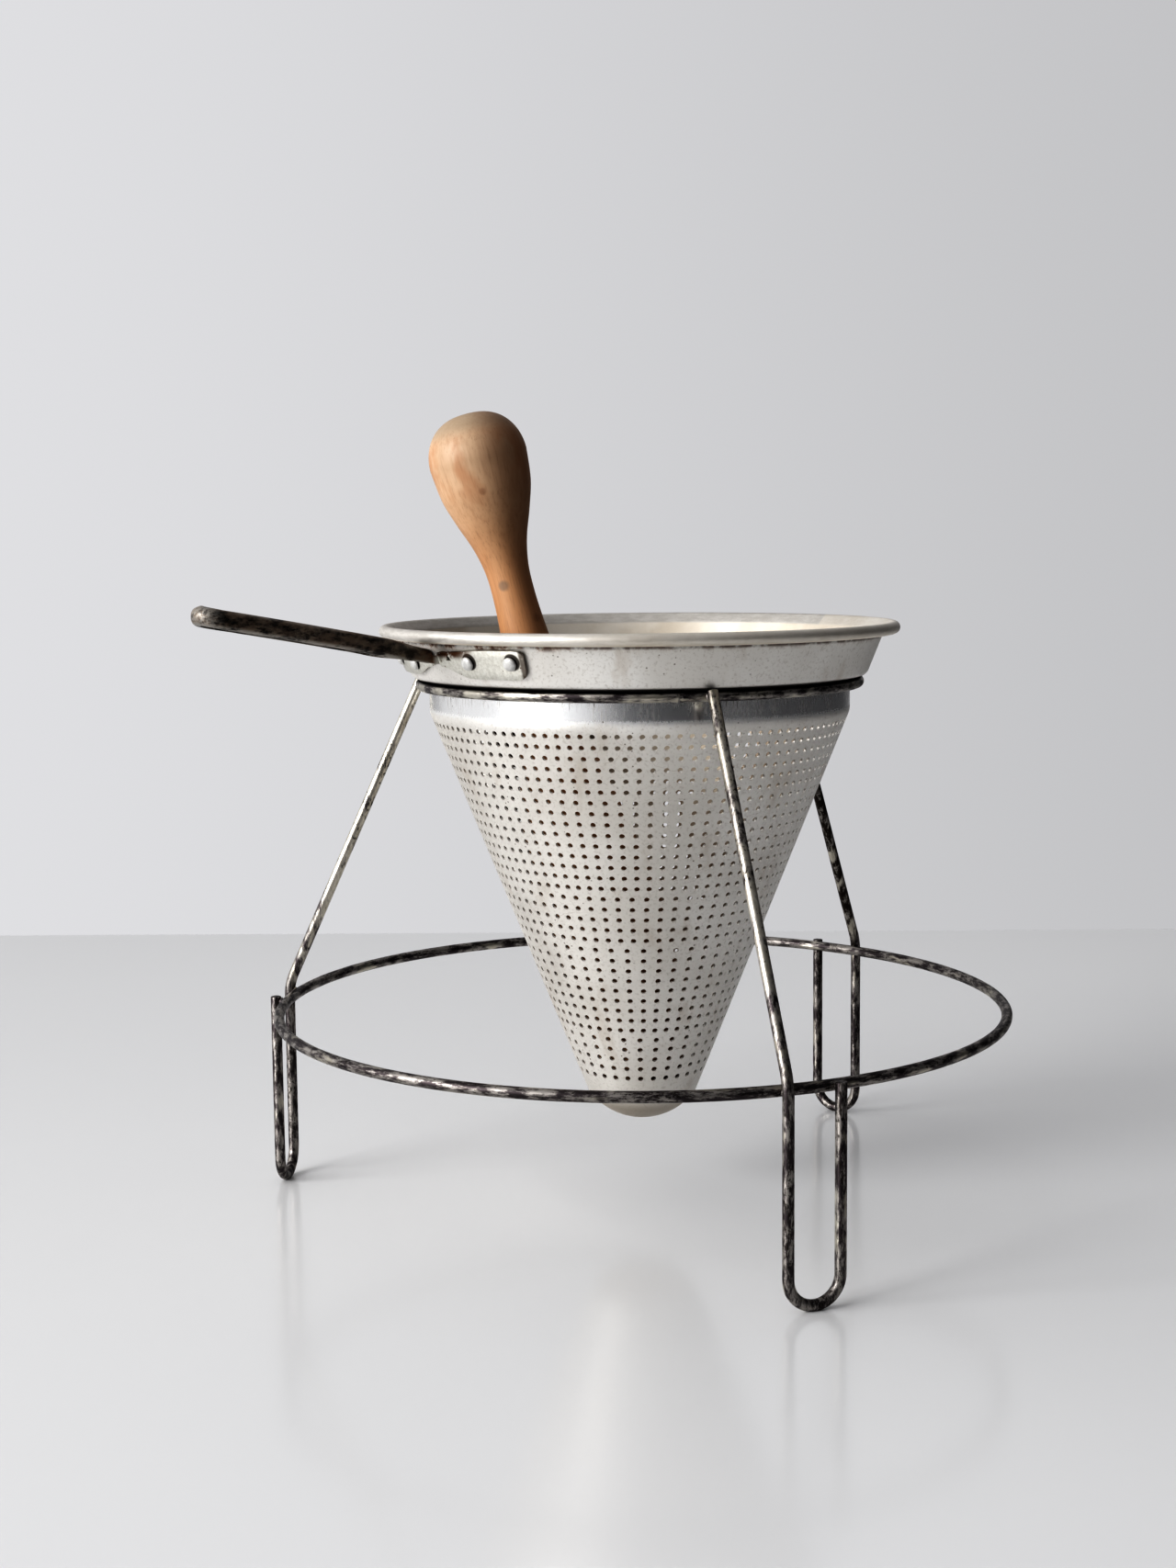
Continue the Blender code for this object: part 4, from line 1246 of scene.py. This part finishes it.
def handle_finish():
    """Steel: the grip blackened, its tip and edges worn bright, the wings tinned but rusting."""
    made = Finish("handle_steel")
    bearing = made.bearing()
    reach = made.times(made.x, -1.0)
    along = made.math("SUBTRACT", reach, HANDLE_ROOT)
    fall = made.times(along, along, HANDLE_CURVE)
    rise = made.math("MULTIPLY_ADD", along, HANDLE_SLOPE, HANDLE_ROOT_HEIGHT)
    height = made.math("SUBTRACT", made.z, made.math("SUBTRACT", rise, fall))
    streaks = made.noise(240, 6, 0.72, (0.4, 1, 1))
    blotches = made.noise(130, 4, 0.62, (0.5, 1, 1), 2.0)
    grains = made.noise(900, 4, 0.7, (0.6, 1, 1), 3.0)

    # The grip, from the black scale out to the worn edges and tip.
    grip = made.two_tone(streaks, 0.42, 0.58, (0.014, 0.011, 0.010), (0.19, 0.145, 0.11))
    rubbed = made.times(made.span(blotches, 0.46, 0.62), made.span(grains, 0.35, 0.60))
    grip = made.stain(grip, rubbed, (0.30, 0.25, 0.20), 0.65)
    root = made.fall(along, 12 * MM, 40 * MM)
    brown = made.times(root, made.span(streaks, 0.35, 0.60, 0.15, 0.65))
    grip = made.stain(grip, brown, (0.22, 0.185, 0.145))
    rusty = made.times(made.fall(along, 5 * MM, 16 * MM), made.span(blotches, 0.40, 0.60))
    grip = made.stain(grip, rusty, (0.16, 0.075, 0.035), 0.75)
    lower_edge = made.times(made.fall(height, -2.9 * MM, -1.7 * MM), made.span(streaks, 0.38, 0.55))
    upper_edge = made.times(made.span(height, 2.0 * MM, 2.9 * MM), 0.5)
    upper_edge = made.times(upper_edge, made.span(blotches, 0.40, 0.60, 0.1, 0.7))
    edges = made.math("MAXIMUM", lower_edge, upper_edge)
    grip = made.stain(grip, edges, (0.40, 0.38, 0.35), 0.8)
    tip = made.span(reach, HANDLE_REACH - 9 * MM, HANDLE_REACH - 2 * MM)
    tip = made.times(tip, made.span(grains, 0.40, 0.60, 0.15, 0.75))
    grip = made.stain(grip, tip, (0.34, 0.325, 0.30))

    # The wings: tin, chipped and scratched, with a painted shadow round each rivet, painted shade
    # at their ends, and dirt in the folds.
    tin = made.two_tone(grains, 0.3, 0.7, (0.58, 0.565, 0.515), (0.73, 0.72, 0.67))
    chipped = made.times(made.specks(430, 0.17), made.span(blotches, 0.45, 0.58))
    tin = made.stain(tin, chipped, (0.16, 0.10, 0.06), 0.8)
    tin = made.stain(tin, made.scratches(60, 0.008), (0.35, 0.31, 0.26), 0.4)
    # A painted shadow round each rivet, on the side away from the light.
    painted_rivet_shadow = made.round_rivets(bearing, HEAD_RADIUS + 0.1 * MM, HEAD_RADIUS + 0.7 * MM)
    tin = made.stain(tin, painted_rivet_shadow, (0.03, 0.022, 0.018), 0.9)
    # Painted shade on the last strip of each wing's end, broken by blotches.
    end = made.span(made.math("ABSOLUTE", bearing), WING_ANGLE - 0.026, WING_ANGLE - 0.014)
    end = made.times(end, made.span(blotches, 0.36, 0.46, 0.5, 1.0))
    tin = made.stain(tin, end, (0.07, 0.045, 0.03), 0.75)
    fold = made.times(made.span(along, -1.5 * MM, 0.5 * MM), made.span(height, -0.5 * MM, 1.2 * MM))
    tin = made.stain(tin, fold, (0.11, 0.055, 0.03), made.span(streaks, 0.36, 0.5))

    colour = made.two_tone(along, 0.8 * MM, 3.4 * MM, tin, grip)
    metal = made.math("MAXIMUM", made.span(along, 0.8 * MM, 3.4 * MM, 1.0, 0.45), tip)
    made.feed(made.shader.inputs["Metallic"], metal)
    rough = made.span(streaks, 0.3, 0.7, 0.36, 0.56)
    return made.done(colour, rough, (streaks, 0.25, 0.2 * MM), (grains, 0.25, 0.08 * MM))


def rivet_finish():
    """Soft aluminium, dulled and dented."""
    made = Finish("rivet_metal", 0.45)
    broad = made.noise(500, 3)
    fine = made.noise(2500, 3)
    colour = made.two_tone(broad, 0.3, 0.7, (0.50, 0.495, 0.48), (0.68, 0.675, 0.66))
    rough = made.span(fine, 0.3, 0.7, 0.42, 0.58)
    return made.done(colour, rough, (broad, 0.3, 0.12 * MM), (fine, 0.2, 0.03 * MM))


def wire_finish(age=None):
    """Tinned wire: creamy up the legs, darkened in streaks and blotches on the rings and feet.

    A leg has an age, from 0 on the brightest to 1 on one that is nearly black; a hoop has none.
    """
    made = Finish("wire_steel")
    if age is None:
        age = 0.0
        place = made.node("Attribute", attribute_name="wire_place").outputs["Vector"]
        along, sides = (1, 0, 0), (0, 1, 1)
    else:
        place = made.coords
        along, sides = (0, 0, 1), (1, 1, 0)

    def drawn_out(scale, detail, rough, amount, shift):
        stretch = tuple(amount * length + width for length, width in zip(along, sides))
        return made.noise(scale, detail, rough, stretch, shift, place)

    streaks = drawn_out(330, 5, 0.6, 0.22, age * 3)
    patches = drawn_out(70, 3, 0.55, 0.6, 2.0)
    grains = drawn_out(1100, 4, 0.65, 0.5, 4.0)
    mottle = drawn_out(430, 5, 0.72, 0.30, 6.0)

    # How dark each place is: the feet, the sieve's side of the top ring, an old leg above its foot.
    inward = made.fall(made.from_axis(), 86.4 * MM, 86.7 * MM)
    ring = made.times(made.span(made.z, 197 * MM, 200.5 * MM), inward)
    aged = made.span(made.z, 55 * MM, 100 * MM, 0.0, age)
    feet = made.fall(made.z, 78 * MM, 150 * MM)
    dark = made.math("MAXIMUM", made.times(feet, 0.16), made.times(ring, 0.105))
    dark = made.math("MAXIMUM", dark, made.times(aged, 0.14))
    level = made.math("ADD", made.times(patches, 0.5), made.times(streaks, 0.5))
    stain = made.span(made.math("ADD", level, made.math("ADD", dark, 0.045)), 0.57, 0.66)

    tin = made.two_tone(streaks, 0.3, 0.7, (0.46, 0.43, 0.37), (0.74, 0.71, 0.64))
    oxide = made.two_tone(mottle, 0.43, 0.60, (0.065, 0.056, 0.058), (0.34, 0.32, 0.30))
    colour = made.mix(stain, tin, oxide)
    blackened = made.times(stain, made.span(mottle, 0.50, 0.60, 0.8, 0.1))
    colour = made.stain(colour, blackened, (0.030, 0.022, 0.016), made.span(aged, 0.5, 1.0))
    spots = made.span(made.math("ADD", grains, made.times(patches, 0.5)), 0.82, 0.90)
    colour = made.stain(colour, spots, (0.04, 0.035, 0.03), 0.85)
    # Painted shade, with packed dirt, near black on the top of the ring under the sieve's shoulder.
    ring_dirt_and_gap_shade = made.span(made.z, TOP_RING_HEIGHT + 0.7 * MM, TOP_RING_HEIGHT + 1.7 * MM)
    colour = made.stain(colour, made.times(ring, ring_dirt_and_gap_shade), (0.02, 0.016, 0.014), 0.93)
    rough = made.span(stain, 0.0, 1.0, 0.30, 0.44)
    return made.done(colour, rough, (streaks, 0.25, 0.18 * MM), (grains, 0.2, 0.05 * MM))


def core_finish():
    """Plain drawn wire."""
    made = Finish("core_steel")
    broad = made.noise(300, 4)
    colour = made.two_tone(broad, 0.35, 0.65, (0.10, 0.07, 0.05), (0.28, 0.25, 0.22))
    return made.done(colour, made.span(broad, 0.3, 0.7, 0.4, 0.65), (broad, 0.3, 0.1 * MM))


def wood_finish():
    """Bare maple: grain along it, the knob greyed by hands, the neck warmer, a few old bruises."""
    made = Finish("maple", 0.0)
    top = PESTLE_LENGTH
    broad = made.noise(26, 3, 0.5, (1, 1, 0.35))
    grain = made.noise(620, 4, 0.55, (1, 1, 0.02), 5.0)
    fibres = made.noise(1500, 3, 0.6, (1, 1, 0.06), 1.0)
    ruddy = made.noise(60, 4, 0.6, (1, 1, 0.5), 8.0)
    warm = made.two_tone(broad, 0.35, 0.65, (0.48, 0.245, 0.118), (0.61, 0.36, 0.20))
    grey = made.two_tone(broad, 0.35, 0.65, (0.43, 0.295, 0.195), (0.57, 0.415, 0.285))
    colour = made.two_tone(made.z, top - 75 * MM, top - 8 * MM, warm, grey)
    colour = made.stain(colour, made.span(grain, 0.42, 0.75), (0.27, 0.13, 0.06), 0.22)
    colour = made.stain(colour, made.span(fibres, 0.50, 0.75), (0.14, 0.07, 0.035), 0.25)

    # A ruddy belt under the greyish crown, and painted shade down one side.
    belt = made.belt(made.z, top, -45, -22, -14, -7)
    colour = made.stain(colour, belt, (0.40, 0.19, 0.085), made.span(ruddy, 0.45, 0.62, 0.0, 0.6))
    crown = made.span(made.z, top - 11 * MM, top - 5 * MM)
    colour = made.stain(colour, crown, (0.33, 0.26, 0.185), 0.75)
    # Painted shade down the side away from the light.
    aside = made.math("MULTIPLY_ADD", made.x, PAINTED_SHADE_SIDE.x, made.times(made.y, PAINTED_SHADE_SIDE.y))
    painted_side_shade = made.span(made.math("DIVIDE", aside, made.from_axis()), -0.4, 0.9, 0.0, 0.6)
    colour = made.stain(colour, painted_side_shade, (0.20, 0.095, 0.045))

    for spot, size, tint, depth in WOOD_SPOTS:
        apart = made.vector("DISTANCE", {0: made.coords, 1: spot}, "Value")
        wobble = made.math("MULTIPLY_ADD", made.math("SUBTRACT", ruddy, 0.5), 2 * size, apart)
        colour = made.stain(colour, made.fall(wobble, size * 0.5, size * 1.2), tint, depth)
    rough = made.span(grain, 0.3, 0.7, 0.45, 0.6)
    return made.done(colour, rough, (grain, 0.15, 0.15 * MM), (fibres, 0.12, 0.04 * MM))


# ---------------------------------------------------------------- stage

# The camera, from the cone's axis. Its angles are added to VIEW_TURN and to a level view.
CAMERA_SPOT = (0, -0.83141, 0.25964)
CAMERA_TURN = math.radians(1.394)
CAMERA_DROP = math.radians(6.637)
CAMERA_ROLL = math.radians(-0.574)
CAMERA_LENS = 49.3  # millimetres, on a sensor 36 wide
# The floor, from the cone's axis: half its width, and its edges near the camera and far from it.
FLOOR_SIDE = 0.72
FLOOR_FRONT = -0.60
FLOOR_BACK = 0.557
FLOOR_LOOK = {"Base Color": (0.77, 0.77, 0.77, 1.0), "Roughness": 0.16, "Specular IOR Level": 0.8}
# Square lights that face the sieve: (name, place seen from the camera, size, power).
LIGHTS = (
    ("window", (-2.38, -1.38, 1.02), 1.5, 51),
    ("ceiling", (-0.5, 0.3, 2.2), 1.6, 2),
)
LIGHTS_AIM = 0.14  # height on the cone's axis
# Lobes of light: (direction, cosine at its edge, cosine at its core, colour).
ROOM_BASE = (0.075, 0.075, 0.077)
ROOM_LOBES = (
    (seen_from_camera(-0.97, -0.20, 0.15), 0.22, 0.82, (0.58, 0.58, 0.585)),
    (seen_from_camera(-0.55, -0.80, 0.35), 0.40, 1.0, (0.10, 0.10, 0.103)),
    (seen_from_camera(-0.25, 0.92, 0.30), 0.55, 0.97, (0.26, 0.26, 0.264)),
    (seen_from_camera(0, 0, 1), 0.2, 1.0, (0.17, 0.17, 0.175)),
)
WALL_BASE = (0.366, 0.366, 0.373)
WALL_LOBES = ((seen_from_camera(-1, 0, 0), -0.45, 0.45, (0.110, 0.110, 0.113)),)
WALL_DISTANCE = 8.0


def make_floor():
    """Plain, pale and a little glossy, with a straight edge far behind the stand."""
    corners = ((-1, FLOOR_FRONT), (1, FLOOR_FRONT), (1, FLOOR_BACK), (-1, FLOOR_BACK))
    mesh = bpy.data.meshes.new("floor")
    points = [seen_from_camera(side * FLOOR_SIDE, away, 0) for side, away in corners]
    mesh.from_pydata(points, [], [(0, 1, 2, 3)])
    floor = place("floor", mesh)
    finish = new_material("floor")
    shader = finish.node_tree.nodes["Principled BSDF"]
    for name, value in FLOOR_LOOK.items():
        shader.inputs[name].default_value = value
    mesh.materials.append(finish)


def directional(nodes, direction, lobes, base):
    """A colour that is base everywhere, plus each lobe of light near the lobe's own direction."""
    total = base
    for middle, edge, core, colour in lobes:
        towards = nodes.vector("DOT_PRODUCT", {0: direction, 1: middle.normalized()}, "Value")
        tint = nodes.vector("SCALE", {0: colour, "Scale": nodes.span(towards, edge, core)})
        total = nodes.vector("ADD", {0: tint, 1: total})
    return total


def make_world():
    """The room that lights the object: bright to the left and behind, dim to the right."""
    world = bpy.data.worlds.new("room")
    world.use_nodes = True
    nodes = Nodes(world.node_tree)
    colour = directional(nodes, nodes.node("TexCoord").outputs["Generated"], ROOM_LOBES, ROOM_BASE)
    nodes.feed(nodes.tree.nodes["Background"].inputs["Color"], colour)
    bpy.context.scene.world = world


def make_backdrop():
    """A pale sphere round everything, which only the camera sees; it glows with painted light,
    brighter to the left.
    """
    shape = bmesh.new()
    bmesh.ops.create_uvsphere(shape, u_segments=64, v_segments=32, radius=WALL_DISTANCE)
    mesh = poured(shape, bpy.data.meshes.new("backdrop"))
    mesh.shade_smooth()
    backdrop = place("backdrop", mesh)
    finish = new_material("backdrop")
    finish.node_tree.nodes.clear()
    nodes = Nodes(finish.node_tree)
    outward = nodes.vector("NORMALIZE", {0: nodes.node("TexCoord").outputs["Object"]})
    colour = directional(nodes, outward, WALL_LOBES, WALL_BASE)
    nodes.node("OutputMaterial", {"Surface": nodes.node("Emission", {"Color": colour}).outputs[0]})
    mesh.materials.append(finish)
    for ray in ("diffuse", "glossy", "transmission", "shadow"):
        setattr(backdrop, f"visible_{ray}", False)


def add_light(name, spot, size, power):
    """A square soft light that faces the sieve."""
    lamp = bpy.data.lights.new(name, "AREA")
    lamp.shape = "SQUARE"
    lamp.size = size
    lamp.energy = power
    light = bpy.data.objects.new(name, lamp)
    light.location = AXIS + seen_from_camera(*spot)
    aim = AXIS + Vector((0, 0, LIGHTS_AIM)) - light.location
    light.rotation_euler = aim.to_track_quat("-Z", "Y").to_euler()
    light.visible_camera = False
    COLLECTION.objects.link(light)


def make_camera():
    lens = bpy.data.cameras.new("camera")
    lens.lens = CAMERA_LENS
    lens.sensor_width = 36.0
    camera = bpy.data.objects.new("camera", lens)
    turn = Matrix.Rotation(VIEW_TURN + CAMERA_TURN, 4, "Z")
    tilt = Matrix.Rotation(math.pi / 2 - CAMERA_DROP, 4, "X")
    roll = Matrix.Rotation(CAMERA_ROLL, 4, "Z")
    spot = Matrix.Translation(AXIS + seen_from_camera(*CAMERA_SPOT))
    camera.matrix_world = spot @ turn @ tilt @ roll
    COLLECTION.objects.link(camera)
    bpy.context.scene.camera = camera


def main():
    make_camera()
    make_floor()
    make_world()
    make_backdrop()
    for light in LIGHTS:
        add_light(*light)
    bpy.context.scene.view_settings.view_transform = "Standard"
    bpy.context.scene.view_settings.look = "Very High Contrast"
    make_stand()
    make_sieve([sieve_outside_finish(), sieve_inside_finish()])
    make_rim_wire(core_finish())
    make_handle(handle_finish())
    make_rivets(rivet_finish())
    make_pestle(wood_finish())


main()
